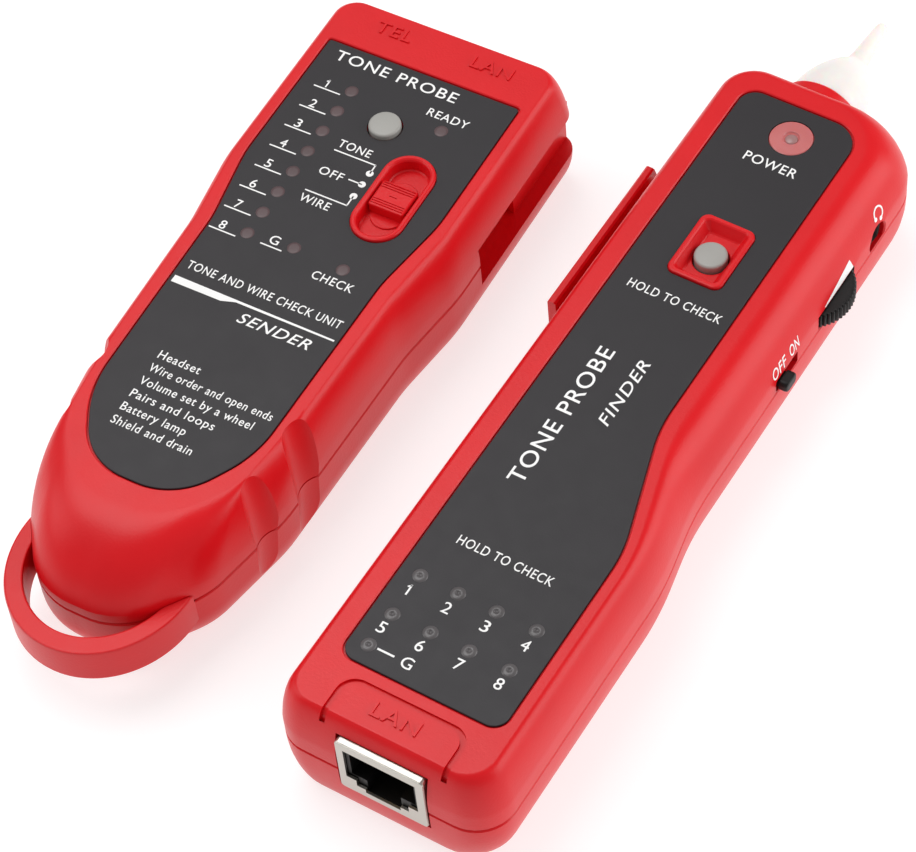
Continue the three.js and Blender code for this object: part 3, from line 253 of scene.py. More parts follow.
def unit_place(centre, local, turn):
    """The matrix from a unit's own millimetres to the frame, given where one of its points is."""
    turned = Matrix.Rotation(turn, 4, "Z")
    offset = turned @ Vector((local[0], local[1], 0)) * 0.001
    return Matrix.Translation((centre.x - offset.x, centre.y - offset.y, 0)) @ turned @ Matrix.Scale(0.001, 4)


def box_middle(node):
    low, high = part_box(node)
    return (low + high) / 2


slide_axis = next(joint["axis"] for joint in frame["joints"] if joint["name"] == "mode_slide")
emitter_turn = math.atan2(-slide_axis[0], slide_axis[1])
EMITTER["place"] = unit_place(box_middle("emitter_push_button"), EMITTER_BUTTON, emitter_turn)
RECEIVER["place"] = unit_place(box_middle("receiver_test_button"), TEST_BUTTON, 0.0)

# ---- outlines


def outline(corners, arc_steps=ARC_STEPS, side_steps=1):
    """Points of a closed outline with rounded corners; straight runs are divided too."""
    arcs = []
    for index, (x, y, radius) in enumerate(corners):
        corner = np.array([x, y], float)
        back = np.array(corners[index - 1][:2], float) - corner
        ahead = np.array(corners[(index + 1) % len(corners)][:2], float) - corner
        back /= np.linalg.norm(back)
        ahead /= np.linalg.norm(ahead)
        half = math.acos(np.clip(back @ ahead, -1, 1)) / 2
        bisector = (back + ahead) / np.linalg.norm(back + ahead)
        centre = corner + bisector * radius / math.sin(half)
        start = corner + back * radius / math.tan(half) - centre
        end = corner + ahead * radius / math.tan(half) - centre
        first = math.atan2(start[1], start[0])
        sweep = (math.atan2(end[1], end[0]) - first + math.pi) % (2 * math.pi) - math.pi
        angles = first + sweep * np.linspace(0, 1, arc_steps + 1)
        arcs.append(centre + radius * np.stack([np.cos(angles), np.sin(angles)], 1))
    points = []
    for index, arc in enumerate(arcs):
        points.append(arc)
        following = arcs[(index + 1) % len(arcs)][0]
        shares = np.linspace(0, 1, side_steps + 1)[1:-1, None]
        points.append(arc[-1] * (1 - shares) + following * shares)
    return np.concatenate(points)


def inset(corners, distance):
    """The same outline moved inwards by a distance, or outwards when it is negative."""
    moved = []
    for index, (x, y, radius) in enumerate(corners):
        px, py = corners[index - 1][:2]
        nx, ny = corners[(index + 1) % len(corners)][:2]
        in_normal = np.array([py - y, x - px]) / math.hypot(py - y, x - px)
        out_normal = np.array([y - ny, nx - x]) / math.hypot(y - ny, nx - x)
        shift = (in_normal + out_normal) * distance / (1 + in_normal @ out_normal)
        turn = (x - px) * (ny - y) - (y - py) * (nx - x)
        rounder = radius - distance if turn > 0 else radius + distance
        moved.append((x + shift[0], y + shift[1], max(rounder, SMALLEST_CORNER)))
    return moved


def rectangle(x, y, width, length, corner):
    w, l = width / 2, length / 2
    return [(x - w, y - l, corner), (x + w, y - l, corner), (x + w, y + l, corner), (x - w, y + l, corner)]


# ---- meshes in unit millimetres


def new_object(name, points, faces):
    data = bpy.data.meshes.new(name)
    data.from_pydata([tuple(map(float, point)) for point in points], [], faces)
    data.update()
    made = bpy.data.objects.new(name, data)
    bpy.context.scene.collection.objects.link(made)
    return made


def loft(name, rings):
    """A closed solid through rings of (outline points, z), from the bottom up, with flat ends."""
    points = np.concatenate([np.column_stack([ring, np.full(len(ring), z)]) for ring, z in rings])
    count = len(rings[0][0])
    faces = [tuple(range(count))[::-1], tuple(range(len(points) - count, len(points)))]
    for row in range(len(rings) - 1):
        low, high = row * count, (row + 1) * count
        for k in range(count):
            after = (k + 1) % count
            faces.append((low + k, low + after, high + after, high + k))
    return new_object(name, points, faces)


def rounded(shape, x=None, y=None):
    """The rectangle of a shape's width, length and corner, at its own middle or at another."""
    x = shape["x"] if x is None else x
    y = shape["y"] if y is None else y
    return rectangle(x, y, shape["width"], shape["length"], shape["corner"])


# Stands a loft drawn in (y, z) up, so that its levels run out of the right wall, or turns one drawn in
# (x, z) to face the near end.
OUT_OF_WALL = Matrix(((0, 0, 1, 0), (1, 0, 0, 0), (0, 1, 0, 0), (0, 0, 0, 1)))
NEAR_END = Matrix(((1, 0, 0, 0), (0, 0, -1, JACK["face_y"]), (0, 1, 0, 0), (0, 0, 0, 1)))


def prism(corners, low, high, steps=ARC_STEPS):
    ring = outline(corners, steps)
    return loft("prism", [(ring, low), (ring, high)])


def flared(corners, levels, steps=ARC_STEPS):
    """A solid whose outline is moved in by a different distance at each level: (inwards, z)."""
    return loft("flared", [(outline(inset(corners, inwards), steps), z) for inwards, z in levels])


def box(low, high):
    ring = np.array([(low[0], low[1]), (high[0], low[1]), (high[0], high[1]), (low[0], high[1])], float)
    return loft("box", [(ring, low[2]), (ring, high[2])])


def turned(name, centre, profile, sides=64, along="z"):
    """A solid turned about an axis through centre: profile is (radius, distance along the axis)."""
    angles = np.linspace(0, 2 * math.pi, sides, endpoint=False)
    circle = np.stack([np.cos(angles), np.sin(angles)], 1)
    small = 0.004
    rings = [(circle * max(radius, small), distance) for radius, distance in profile]
    made = loft(name, rings)
    quarter = math.pi / 2
    turn = {"z": Matrix(), "x": Matrix.Rotation(quarter, 4, "Y"), "y": Matrix.Rotation(-quarter, 4, "X")}
    made.data.transform(Matrix.Translation(Vector(centre)) @ turn[along])
    return made


def rod(centre, radius, low, high, sides=48):
    return turned("rod", (centre[0], centre[1], 0), [(radius, low), (radius, high)], sides)


def boolean(target, operation, *tools):
    """Cuts each tool from the target, joins it on or keeps what they share, and removes the tools."""
    for tool in tools:
        modifier = target.modifiers.new("boolean", "BOOLEAN")
        modifier.operation = operation
        modifier.solver = "MANIFOLD"
        modifier.object = tool
    bpy.context.view_layer.update()
    shaped = bpy.data.meshes.new_from_object(target.evaluated_get(bpy.context.evaluated_depsgraph_get()))
    target.modifiers.clear()
    target.data = shaped
    for tool in tools:
        bpy.data.objects.remove(tool)
    return target


def cut(target, *tools):
    return boolean(target, "DIFFERENCE", *tools)


def join(target, *tools):
    return boolean(target, "UNION", *tools)


def place(made, name, unit, body, slot, nodes=(), look=None, sharp=18.0):
    """Moves a finished piece to the frame, smooths it, and says what it is and what it rides on."""
    made.name = name
    made.data.name = name
    made.data.transform(unit["place"])
    made.data.materials.clear()
    made.data.materials.append(look or LOOKS[slot])
    made.data.polygons.foreach_set("use_smooth", [True] * len(made.data.polygons))
    made.data.set_sharp_from_angle(angle=math.radians(sharp))
    made.data.update()
    weighted = made.modifiers.new("weighted_normals", "WEIGHTED_NORMAL")
    weighted.keep_sharp = True
    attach(made, body)
    if nodes:
        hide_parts(*nodes)
    return made


def merge(parts):
    """Several objects as one, without booleans."""
    points, faces = [], []
    for part in parts:
        start = len(points)
        points += [tuple(vertex.co) for vertex in part.data.vertices]
        faces += [tuple(start + index for index in polygon.vertices) for polygon in part.data.polygons]
        bpy.data.objects.remove(part)
    return new_object("merged", points, faces)


# ---- materials

DRIFT_SIZE = 14              # mm, size of the colour's slow drift
GLOSS_SIZE = 3.5             # mm, size of the changes in gloss
GLOSS_CHANGE = 0.14
GRAIN_DEPTH = 0.00005        # m


def linear(red, green, blue):
    """An sRGB colour from 0 to 255 as linear values."""
    def one(value):
        share = value / 255
        return share / 12.92 if share <= 0.04045 else ((share + 0.055) / 1.055) ** 2.4
    return (one(red), one(green), one(blue), 1.0)


def material(
    name, colour, roughness, metallic=0.0, grain=0.0, grain_size=0.5, blotch=0.06, stretch=(1, 1, 1),
    **shader,
):
    """Moulded or plated stuff: slow colour drift, changing gloss, and a fine surface grain (sizes in mm).

    Names in shader are sockets of the shader node, with _ for a space.
    """
    made = bpy.data.materials.new(name)
    made.use_nodes = True
    nodes, links = made.node_tree.nodes, made.node_tree.links
    bsdf = nodes["Principled BSDF"]
    coordinates = nodes.new("ShaderNodeTexCoord")
    mapping = nodes.new("ShaderNodeMapping")
    mapping.inputs["Scale"].default_value = stretch
    links.new(coordinates.outputs["Object"], mapping.inputs["Vector"])

    def noise(size_mm, detail):
        texture = nodes.new("ShaderNodeTexNoise")
        texture.inputs["Scale"].default_value = 1000 / size_mm
        texture.inputs["Detail"].default_value = detail
        links.new(mapping.outputs["Vector"], texture.inputs["Vector"])
        return texture.outputs["Fac"]

    drift = nodes.new("ShaderNodeValToRGB")
    drift.color_ramp.elements[0].position = 0.3
    drift.color_ramp.elements[1].position = 0.7
    drift.color_ramp.elements[0].color = tuple(value * (1 - blotch) for value in colour[:3]) + (1,)
    drift.color_ramp.elements[1].color = tuple(min(value * (1 + blotch), 1) for value in colour[:3]) + (1,)
    links.new(noise(DRIFT_SIZE, 4), drift.inputs["Fac"])
    links.new(drift.outputs["Color"], bsdf.inputs["Base Color"])

    gloss = nodes.new("ShaderNodeMapRange")
    gloss.inputs["To Min"].default_value = roughness * (1 - GLOSS_CHANGE)
    gloss.inputs["To Max"].default_value = min(roughness * (1 + GLOSS_CHANGE), 1)
    links.new(noise(GLOSS_SIZE, 5), gloss.inputs["Value"])
    links.new(gloss.outputs["Result"], bsdf.inputs["Roughness"])

    if grain:
        bump = nodes.new("ShaderNodeBump")
        bump.inputs["Strength"].default_value = grain
        bump.inputs["Distance"].default_value = GRAIN_DEPTH
        links.new(noise(grain_size, 3), bump.inputs["Height"])
        links.new(bump.outputs["Normal"], bsdf.inputs["Normal"])
    bsdf.inputs["Metallic"].default_value = metallic
    for socket, value in shader.items():
        bsdf.inputs[socket.replace("_", " ")].default_value = value
    return made


RED = linear(214, 12, 22)
# One look for each of the record's material slots.
LOOK_VALUES = {
    "red_plastic": {"colour": RED, "roughness": 0.34, "grain": 0.5, "grain_size": 0.45, "blotch": 0.04,
                    "Specular_IOR_Level": 0.32},
    "label_film": {"colour": linear(38, 35, 38), "roughness": 0.45, "grain": 0.25, "grain_size": 0.3,
                   "blotch": 0.05, "Specular_IOR_Level": 0.35},
    "pink_window": {"colour": linear(224, 112, 108), "roughness": 0.3, "grain": 0.1,
                    "Subsurface_Weight": 0.3},
    "circuit_board": {"colour": linear(24, 92, 52), "roughness": 0.4, "grain": 0.4, "grain_size": 0.8},
    "battery_case": {"colour": linear(60, 68, 80), "roughness": 0.35, "metallic": 0.6, "grain": 0.2,
                     "grain_size": 2},
    "black_plastic": {"colour": linear(10, 9, 9), "roughness": 0.42, "grain": 0.5, "grain_size": 0.35,
                      "Specular_IOR_Level": 0.3},
    "plated_shield": {"colour": linear(190, 186, 178), "roughness": 0.3, "metallic": 1.0, "grain": 0.35,
                      "stretch": (0.15, 1, 1)},
    "lamp_lens": {"colour": linear(110, 84, 86), "roughness": 0.3, "grain": 0.1, "blotch": 0.12},
    "grey_button": {"colour": linear(160, 158, 153), "roughness": 0.42, "grain": 0.35, "grain_size": 0.3},
    "white_plastic": {"colour": linear(236, 232, 228), "roughness": 0.32, "grain": 0.3, "grain_size": 0.8,
                      "Subsurface_Weight": 0.6, "Subsurface_Scale": 0.003},
    "steel": {"colour": linear(150, 151, 154), "roughness": 0.32, "metallic": 1.0, "grain": 0.4,
              "grain_size": 0.3},
    "brass": {"colour": linear(196, 158, 92), "roughness": 0.3, "metallic": 1.0, "grain": 0.3,
              "grain_size": 0.3},
}
LOOKS = {slot: material(slot, **look) for slot, look in LOOK_VALUES.items()}
INK = material("legend_ink", linear(244, 243, 242), 0.5, grain=0.4, grain_size=0.15, blotch=0.03)
FILM_DOME = material("film_dome", linear(84, 80, 81), 0.3, grain=0.15, grain_size=0.3, blotch=0.15)
POWER_TIP = material("power_tip", linear(160, 120, 118), 0.25, grain=0.15, grain_size=0.4, blotch=0.2)
LAMP_SPOT = material("lamp_spot", linear(82, 62, 64), 0.38, grain=0.2, grain_size=0.3, blotch=0.12)

node_slot = {entry["node"]: entry["material_slot"] for entry in frame["record"]["subparts"]}
for node_name, node in frame["nodes"].items():
    node.data.materials.clear()
    node.data.materials.append(LOOKS[node_slot[node_name]])

# ---- shells


def shoulder(unit, share):
    """Height and how much of the way from deck to wall the shoulder is, at a share of its bend."""
    bend = math.radians(unit["bend"])
    angle = bend * share
    rise = (math.cos(angle) - math.cos(bend)) / (1 - math.cos(bend))
    return rise, math.sin(angle) / math.sin(bend)


def upper_rings(unit, low, inwards, side_steps=1):
    wall = outline(inset(unit["wall"], inwards), ARC_STEPS, side_steps)
    deck = outline(inset(unit["deck"], inwards), ARC_STEPS, side_steps)
    top = unit["deck_z"] - inwards
    rings = [(wall, low)]
    for step in range(SHOULDER_STEPS + 1):
        rise, outward = shoulder(unit, 1 - step / SHOULDER_STEPS)
        rings.append((deck + (wall - deck) * outward, unit["crease_z"] + (top - unit["crease_z"]) * rise))
    return rings


def lower_rings(unit, floor, high, inwards, side_steps=1):
    wall = outline(inset(unit["wall"], inwards), ARC_STEPS, side_steps)
    base = outline(inset(unit["base"], inwards), ARC_STEPS, side_steps)
    first = math.acos(1 - floor / unit["fillet_z"])
    rings = []
    for step in range(SHOULDER_STEPS + 1):
        angle = first + (math.pi / 2 - first) * step / SHOULDER_STEPS
        rings.append((base + (wall - base) * math.sin(angle), unit["fillet_z"] * (1 - math.cos(angle))))
    rings.append((wall, high))
    return rings


def edge_ring(unit, side_steps):
    return outline(inset(unit["wall"], SEAM_CHAMFER), ARC_STEPS, side_steps)


def top_blank(unit, name):
    seam = unit["seam_z"] + HALF_SEAM
    rings = upper_rings(unit, seam + SEAM_CHAMFER, 0, SIDE_STEPS)
    shell = loft(name, [(edge_ring(unit, SIDE_STEPS), seam)] + rings)
    inside = loft("inside", upper_rings(unit, unit["seam_z"] - 1, WALL, SIDE_STEPS))
    deck = unit["deck_z"]
    recess = flared(unit["label"], [
        (0, deck - LABEL_RECESS), (0, deck - LABEL_EDGE), (-LABEL_EDGE, deck), (-LABEL_EDGE, deck + 1),
    ], LABEL_STEPS)
    return cut(shell, inside, recess)


def bottom_blank(unit, name):
    seam = unit["seam_z"] - HALF_SEAM
    rings = lower_rings(unit, 0, seam - SEAM_CHAMFER, 0, SIDE_STEPS)
    shell = loft(name, rings + [(edge_ring(unit, SIDE_STEPS), seam)])
    inside = loft("inside", lower_rings(unit, FLOOR, unit["seam_z"] + 1, WALL, SIDE_STEPS))
    return cut(shell, inside)


def well_solid(well, unit):
    deck = unit["deck_z"]
    low = deck - well["depth"] - WELL_FLOOR
    return flared(rounded(well), [(0, low)] + [(inwards, deck + up) for inwards, up in WELL_OUTSIDE])


def well_cutter(well, unit):
    deck = unit["deck_z"]
    width = well["width"] - 2 * well["rim"]
    corner = min(well["corner"] - well["rim"] + 0.4, width / 2 - 0.01)
    inner = rectangle(well["x"], well["y"], width, well["length"] - 2 * well["rim"], corner)
    floor = deck - well["depth"]
    foot = [(well["slope"] + WELL_FOOT[0], floor), (well["slope"], floor + WELL_FOOT[1])]
    return flared(inner, foot + [(inwards, deck + up) for inwards, up in WELL_INSIDE])


def button_hole(spot, low, deck):
    hole = BUTTON_R + GAP
    wide = hole + BUTTON_CHAMFER
    profile = [(hole, low), (hole, deck - 0.15), (wide, deck + 0.05), (wide, deck + 2)]
    return turned("hole", (*spot, 0), profile)


def button(spot, top, low):
    """A round cap with a soft edge and a slightly domed top."""
    edge_z = top - BUTTON_EDGE - BUTTON_CROWN
    rounding = [
        (BUTTON_R - BUTTON_EDGE + BUTTON_EDGE * math.cos(turn), edge_z + BUTTON_EDGE * math.sin(turn))
        for turn in np.linspace(0, math.pi / 2, 8)
    ]
    return turned("button", (*spot, 0), [(BUTTON_R, low), *rounding, (1.2, top - 0.03), (0, top)], 72)


def well_opening(well, top):
    """What a label leaves out round a well."""
    return prism(inset(rounded(well), -GAP / 2), top - 2, top + 1)


def label_film(unit, holes):
    top = unit["deck_z"] - LABEL_TOP
    bevel = FILM["bevel"]
    levels = [(GAP, top - FILM["thick"]), (GAP, top - bevel), (GAP + bevel, top)]
    film = flared(unit["label"], levels, LABEL_STEPS)
    return cut(film, *holes)


def door_recess(x, y):
    """Room for a battery door and its travel; y is the battery's near end."""
    middle = y + BATTERY_LENGTH / 2 + DOOR["past_battery"]
    room = DOOR["travel"] + 2 * GAP
    width, length = DOOR["width"] + 2 * GAP, DOOR["length"] + room + 2 * GAP
    return prism(rectangle(x, middle + room / 2, width, length, DOOR["corner"]), -1, DOOR["depth"], 5)


def screw_hole(spot):
    wide, hole = SCREW_R + 2 * GAP, SCREW_R + GAP
    return turned("hole", (*spot, 0), [(wide, -1), (wide, 0), (hole, 0.3), (hole, 5)])


# ---- lettering


def glyphs(text, shear=0.0):
    """Flat letter faces of Blender's own font, with capitals one unit high and starting at x = 0."""
    def flat(words):
        curve = bpy.data.curves.new("letters", "FONT")
        curve.body = words
        curve.shear = shear
        curve.resolution_u = 5
        curve.offset = 0.004
        curve.space_character = 1.12
        thing = bpy.data.objects.new("letters", curve)
        bpy.context.scene.collection.objects.link(thing)
        bpy.context.view_layer.update()
        mesh = bpy.data.meshes.new_from_object(thing.evaluated_get(bpy.context.evaluated_depsgraph_get()))
        points = np.array([vertex.co[:2] for vertex in mesh.vertices])
        faces = [tuple(polygon.vertices) for polygon in mesh.polygons]
        bpy.data.objects.remove(thing)
        bpy.data.meshes.remove(mesh)
        return points, faces
    points, faces = flat(text)
    capital = flat("E")[0][:, 1].max()
    points = points / capital
    points[:, 0] -= points[:, 0].min()
    return points, faces


def words(text, left, base, width, cap, shear=0.0, upward=False):
    """Letters fitted to a width, with their first letter's foot at (left, base), as flat points and faces."""
    points, faces = glyphs(text, shear)
    points = points * [width / points[:, 0].max(), cap]
    if upward:
        points = np.stack([-points[:, 1], points[:, 0]], 1)
    return points + [left, base], faces


def digit(value, middle, base, cap):
    """A numeral centred at middle; the one is drawn with a flag, so that it doesn't read as a bar."""
    if value != 1:
        return [words(str(value), middle - 0.33 * cap, base, 0.66 * cap, cap)]
    stem = bar(middle, base, middle, base + cap, 0.15 * cap)
    flag = bar(middle + 0.04 * cap, base + 0.95 * cap, middle - 0.24 * cap, base + 0.72 * cap, 0.13 * cap)
    return [stem, flag]


def bar(x0, y0, x1, y1, thick=0.26):
    """A printed line between two points."""
    start, end = np.array([x0, y0], float), np.array([x1, y1], float)
    along = (end - start) / np.linalg.norm(end - start)
    across = np.array([-along[1], along[0]]) * thick / 2
    return np.array([start - across, end - across, end + across, start + across]), [(0, 1, 2, 3)]


def strip(low_start, low_end, high_start, high_end, steps, rows):
    """A four-sided flat shape in small cells, so that it can follow a curved surface."""
    along = np.linspace(0, 1, steps + 1)[:, None]
    low = np.array(low_start) + along * (np.array(low_end) - low_start)
    high = np.array(high_start) + along * (np.array(high_end) - high_start)
    points = np.concatenate([low + (high - low) * row / rows for row in range(rows + 1)])
    faces = []
    for row in range(rows):
        for step in range(steps):
            first = row * (steps + 1) + step
            faces.append((first, first + 1, first + steps + 2, first + steps + 1))
    return points, faces


def dot(x, y, radius):
    angles = np.linspace(0, 2 * math.pi, 32, endpoint=False)
    return np.stack([x + radius * np.cos(angles), y + radius * np.sin(angles)], 1), [tuple(range(32))]


def printed(flats, low, thick=INK_THICK, to_surface=None):
    """Flat shapes given a thickness, on the label or, through to_surface(x, y, height), on any surface."""
    points, faces = [], []
    for flat_points, flat_faces in flats:
        start, count = len(points), len(flat_points)
        for height in (low, low + thick):
            points += [
                (x, y, height) if to_surface is None else to_surface(x, y, height) for x, y in flat_points
            ]
        edges = {}
        for face in flat_faces:
            faces.append(tuple(start + index for index in reversed(face)))
            faces.append(tuple(start + count + index for index in face))
            for k, first in enumerate(face):
                edges[(first, face[(k + 1) % len(face)])] = True
        for first, second in edges:
            if (second, first) not in edges:
                faces.append((start + first, start + second, start + count + second, start + count + first))
    return new_object("printed", points, faces)


# ---- receiver


def receiver_shells():
    unit = RECEIVER
    deck = unit["deck_z"]
    wall_x = unit["wall"][3][0]

    def nose_ring(radius, from_y, to_y, soft=0.0):
        profile = [(radius, from_y), (radius, to_y - soft)]
        if soft:
            profile += [(radius - soft * 0.4, to_y - soft * 0.3), (radius - soft, to_y)]
        return turned("ring", (NOSE["x"], NOSE["end_y"], NOSE["z"]), profile, 96, "y")

    def collar(low, high):
        ring = nose_ring(NOSE["collar_r"], -1.5, NOSE["collar_out"], 0.35)
        slab = box((-BEYOND, NOSE["end_y"] - 10, low), (BEYOND, NOSE["end_y"] + 10, high))
        return boolean(ring, "INTERSECT", slab)

    def bore():
        return nose_ring(NOSE["neck_r"] + GAP, -6, 5)

    def jack_mouth():
        half = JACK["width"] / 2 + GAP
        return box((JACK["x"] - half, -16, JACK["low"] - GAP), (JACK["x"] + half, -6, JACK["top"] + GAP))

    def pad_block(pad, low, high):
        return prism(rounded(pad, JACK["x"]), low, high)

    top = top_blank(unit, "receiver_case_top")
    join(top, well_solid(TEST_WELL, unit))
    groove = cut(
        pad_block(PAD_OUTER, deck - 8, deck + 2), pad_block(PAD_INNER, deck - 9, deck + 3),
        box((-BEYOND, -BEYOND, 0), (BEYOND, PAD_NEAR_END, BEYOND)),
        loft("core", upper_rings(unit, unit["seam_z"], PAD_GROOVE_DEPTH)),
    )
    wheel_room = WHEEL["thick"] / 2 + GAP
    slot_ring = outline(rounded(POWER_SLOT, POWER_SLOT["y"], SIDE_Z))
    power_slot = loft("slot", [(slot_ring, wall_x - 6), (slot_ring, wall_x + 5)])
    power_slot.data.transform(OUT_OF_WALL)
    phone_r = HEADPHONE["r"]
    phone_hole = turned("hole", (0, HEADPHONE["y"], SIDE_Z), [
        (phone_r, wall_x - 6), (phone_r, wall_x - 0.3), (phone_r + 0.3, wall_x + 0.1),
        (phone_r + 0.3, wall_x + 4),
    ], 64, "x")
    cut(
        top, well_cutter(TEST_WELL, unit), button_hole(TEST_BUTTON, deck - 6, deck - TEST_WELL["depth"]),
        rod(POWER_LAMP, LAMP_WELL_R, deck - 4, deck + 1), groove, jack_mouth(),
        rod((WHEEL["x"], WHEEL["y"]), WHEEL["r"] + GAP, SIDE_Z - wheel_room, SIDE_Z + wheel_room, 96),
        power_slot, phone_hole,
    )
    join(top, collar(unit["seam_z"] + HALF_SEAM, BEYOND))
    cut(top, bore())
    place(top, "receiver_case_top", unit, "receiver", "red_plastic", ["receiver_top_shell"])

    bottom = bottom_blank(unit, "receiver_case_bottom")
    join(bottom, rail(), collar(-BEYOND, unit["seam_z"] - HALF_SEAM))
    ring_r = SPEAKER["ring_r"]
    sound_spots = [
        (SPEAKER["x"] + ring_r * math.cos(turn), SPEAKER["y"] + ring_r * math.sin(turn))
        for turn in np.linspace(0, 2 * math.pi, SPEAKER["holes"], endpoint=False)
    ]
    cut(
        bottom, door_recess(*RECEIVER_DOOR), *map(screw_hole, RECEIVER_SCREWS), jack_mouth(), bore(),
        *(rod(spot, SPEAKER["hole_r"], -1, 5, 20) for spot in sound_spots),
    )
    place(bottom, "receiver_case_bottom", unit, "receiver", "red_plastic", ["receiver_bottom_shell"])


def rail():
    """The dock rail: an L section along Y with a soft inner corner and a sloped far end."""
    outer, lip, low, top = RAIL["outer"], RAIL["lip"], RAIL["low"], RAIL["top"]
    bend, edge, heel, soft = RAIL["bend"], RAIL["edge"], RAIL["heel"], RAIL["heel_soft"]
    arc = [
        (outer + lip + bend - bend * math.cos(turn), low + RAIL["floor"] + bend - bend * math.sin(turn))
        for turn in np.linspace(0, math.pi / 2, 9)
    ]
    section = [
        (RAIL["inner"], low), (outer + heel, low), (outer + soft, low + soft), (outer, low + heel),
        (outer, top - edge), (outer + edge, top), (outer + lip - edge, top), (outer + lip, top - edge), *arc,
        (RAIL["inner"], low + RAIL["floor"]),
    ]
    points = []
    for y, slope in ((RAIL["from"], 0.0), (RAIL["to"], RAIL["slope"])):
        points += [(x, y - slope * (z - low) / (top - low), z) for x, z in section]
    count = len(section)
    faces = [tuple(range(count)), tuple(range(count, 2 * count))[::-1]]
    faces += [(k, count + k, count + (k + 1) % count, (k + 1) % count) for k in range(count)]
    return new_object("rail", points, faces)


def receiver_label():
    unit = RECEIVER
    top = unit["deck_z"] - LABEL_TOP
    window_hole = rod(POWER_LAMP, POWER_WINDOW_R + GAP / 2, top - 2, top + 1, 72)
    film = label_film(unit, [well_opening(TEST_WELL, top), window_hole])
    place(film, "receiver_label_film", unit, "receiver", "label_film", ["receiver_label"])

    window = turned("window", (*POWER_LAMP, top), POWER_LENS, 72)
    tip_off = 0.1
    tip = turned("tip", (POWER_LAMP[0] + tip_off, POWER_LAMP[1] - tip_off, top), POWER_TIP_PROFILE, 48)
    place(tip, "receiver_power_tip", unit, "receiver", "lamp_lens", look=POWER_TIP, sharp=60)
    place(window, "receiver_power_lens", unit, "receiver", "pink_window", ["receiver_power_window"])

    spots = [(x, y) for y in RECEIVER_ROWS for x in RECEIVER_COLUMNS] + [RECEIVER_GROUND_LAMP]
    domes = merge([turned("dome", (*spot, top), DOME_PROFILE, 32) for spot in spots])
    place(domes, "receiver_lamp_domes", unit, "receiver", "lamp_lens", look=FILM_DOME, sharp=60)

    flats = [words(*word) for word in RECEIVER_WORDS]
    flats += [bar(*RECEIVER_GROUND_LINE), words(*RECEIVER_TITLE, upward=True)]
    flats.append(words(*RECEIVER_NAME, shear=SLANT, upward=True))
    numbers = RECEIVER_NUMBERS
    for row, foot in enumerate(numbers["feet"]):
        for column, x in enumerate(RECEIVER_COLUMNS):
            value = row * len(RECEIVER_COLUMNS) + column + 1
            flats += digit(value, x + numbers["shift"], foot, numbers["cap"])
    legend = printed(flats, top + INK_LIFT)
    place(legend, "receiver_legend", unit, "receiver", "white_plastic", look=INK)


def receiver_side_marks():
    """Printed marks on the right shoulder, bent to its surface: x is along the unit, y is up the shoulder."""
    unit = RECEIVER
    wall_x, deck_x = unit["wall"][3][0], unit["deck"][3][0]
    crease, high = unit["crease_z"], unit["deck_z"] - unit["crease_z"]
    profile = [(wall_x, crease - 8.0)]
    for share in np.linspace(1, 0, 60):
        rise, outward = shoulder(unit, share)
        profile.append((deck_x + (wall_x - deck_x) * outward, crease + high * rise))
    profile = np.array(profile)
    lengths = np.concatenate([[0], np.cumsum(np.linalg.norm(np.diff(profile, axis=0), axis=1))])
    crease_at = lengths[1]

    def to_surface(along, up, height):
        def on_profile(at):
            return np.interp(at, lengths, profile[:, 0]), np.interp(at, lengths, profile[:, 1])

        x, z = on_profile(crease_at + up)
        ahead_x, ahead_z = on_profile(crease_at + up + 0.1)
        tangent = Vector((ahead_x - x, ahead_z - z)).normalized()
        return (x + tangent.y * height, along, z - tangent.x * height)

    ring = [
        (HEADSET["y"] + HEADSET["r"] * math.cos(turn), HEADSET["up"] + HEADSET["r"] * math.sin(turn))
        for turn in np.radians(np.linspace(HEADSET["from"], HEADSET["to"], 22))
    ]
    flats = [bar(*start, *end, HEADSET["thick"]) for start, end in zip(ring, ring[1:])]
    flats += [dot(*ring[0], HEADSET["pad_r"]), dot(*ring[-1], HEADSET["pad_r"])]
    flats.append(strip(*WEDGE["low"], *WEDGE["high"], 14, 5))
    flats += [words(*word, shear=SWITCH_SLANT) for word in SWITCH_WORDS]
    marks = printed(flats, 0.01, 0.05, to_surface)
    place(marks, "receiver_side_marks", unit, "receiver", "white_plastic", look=INK)


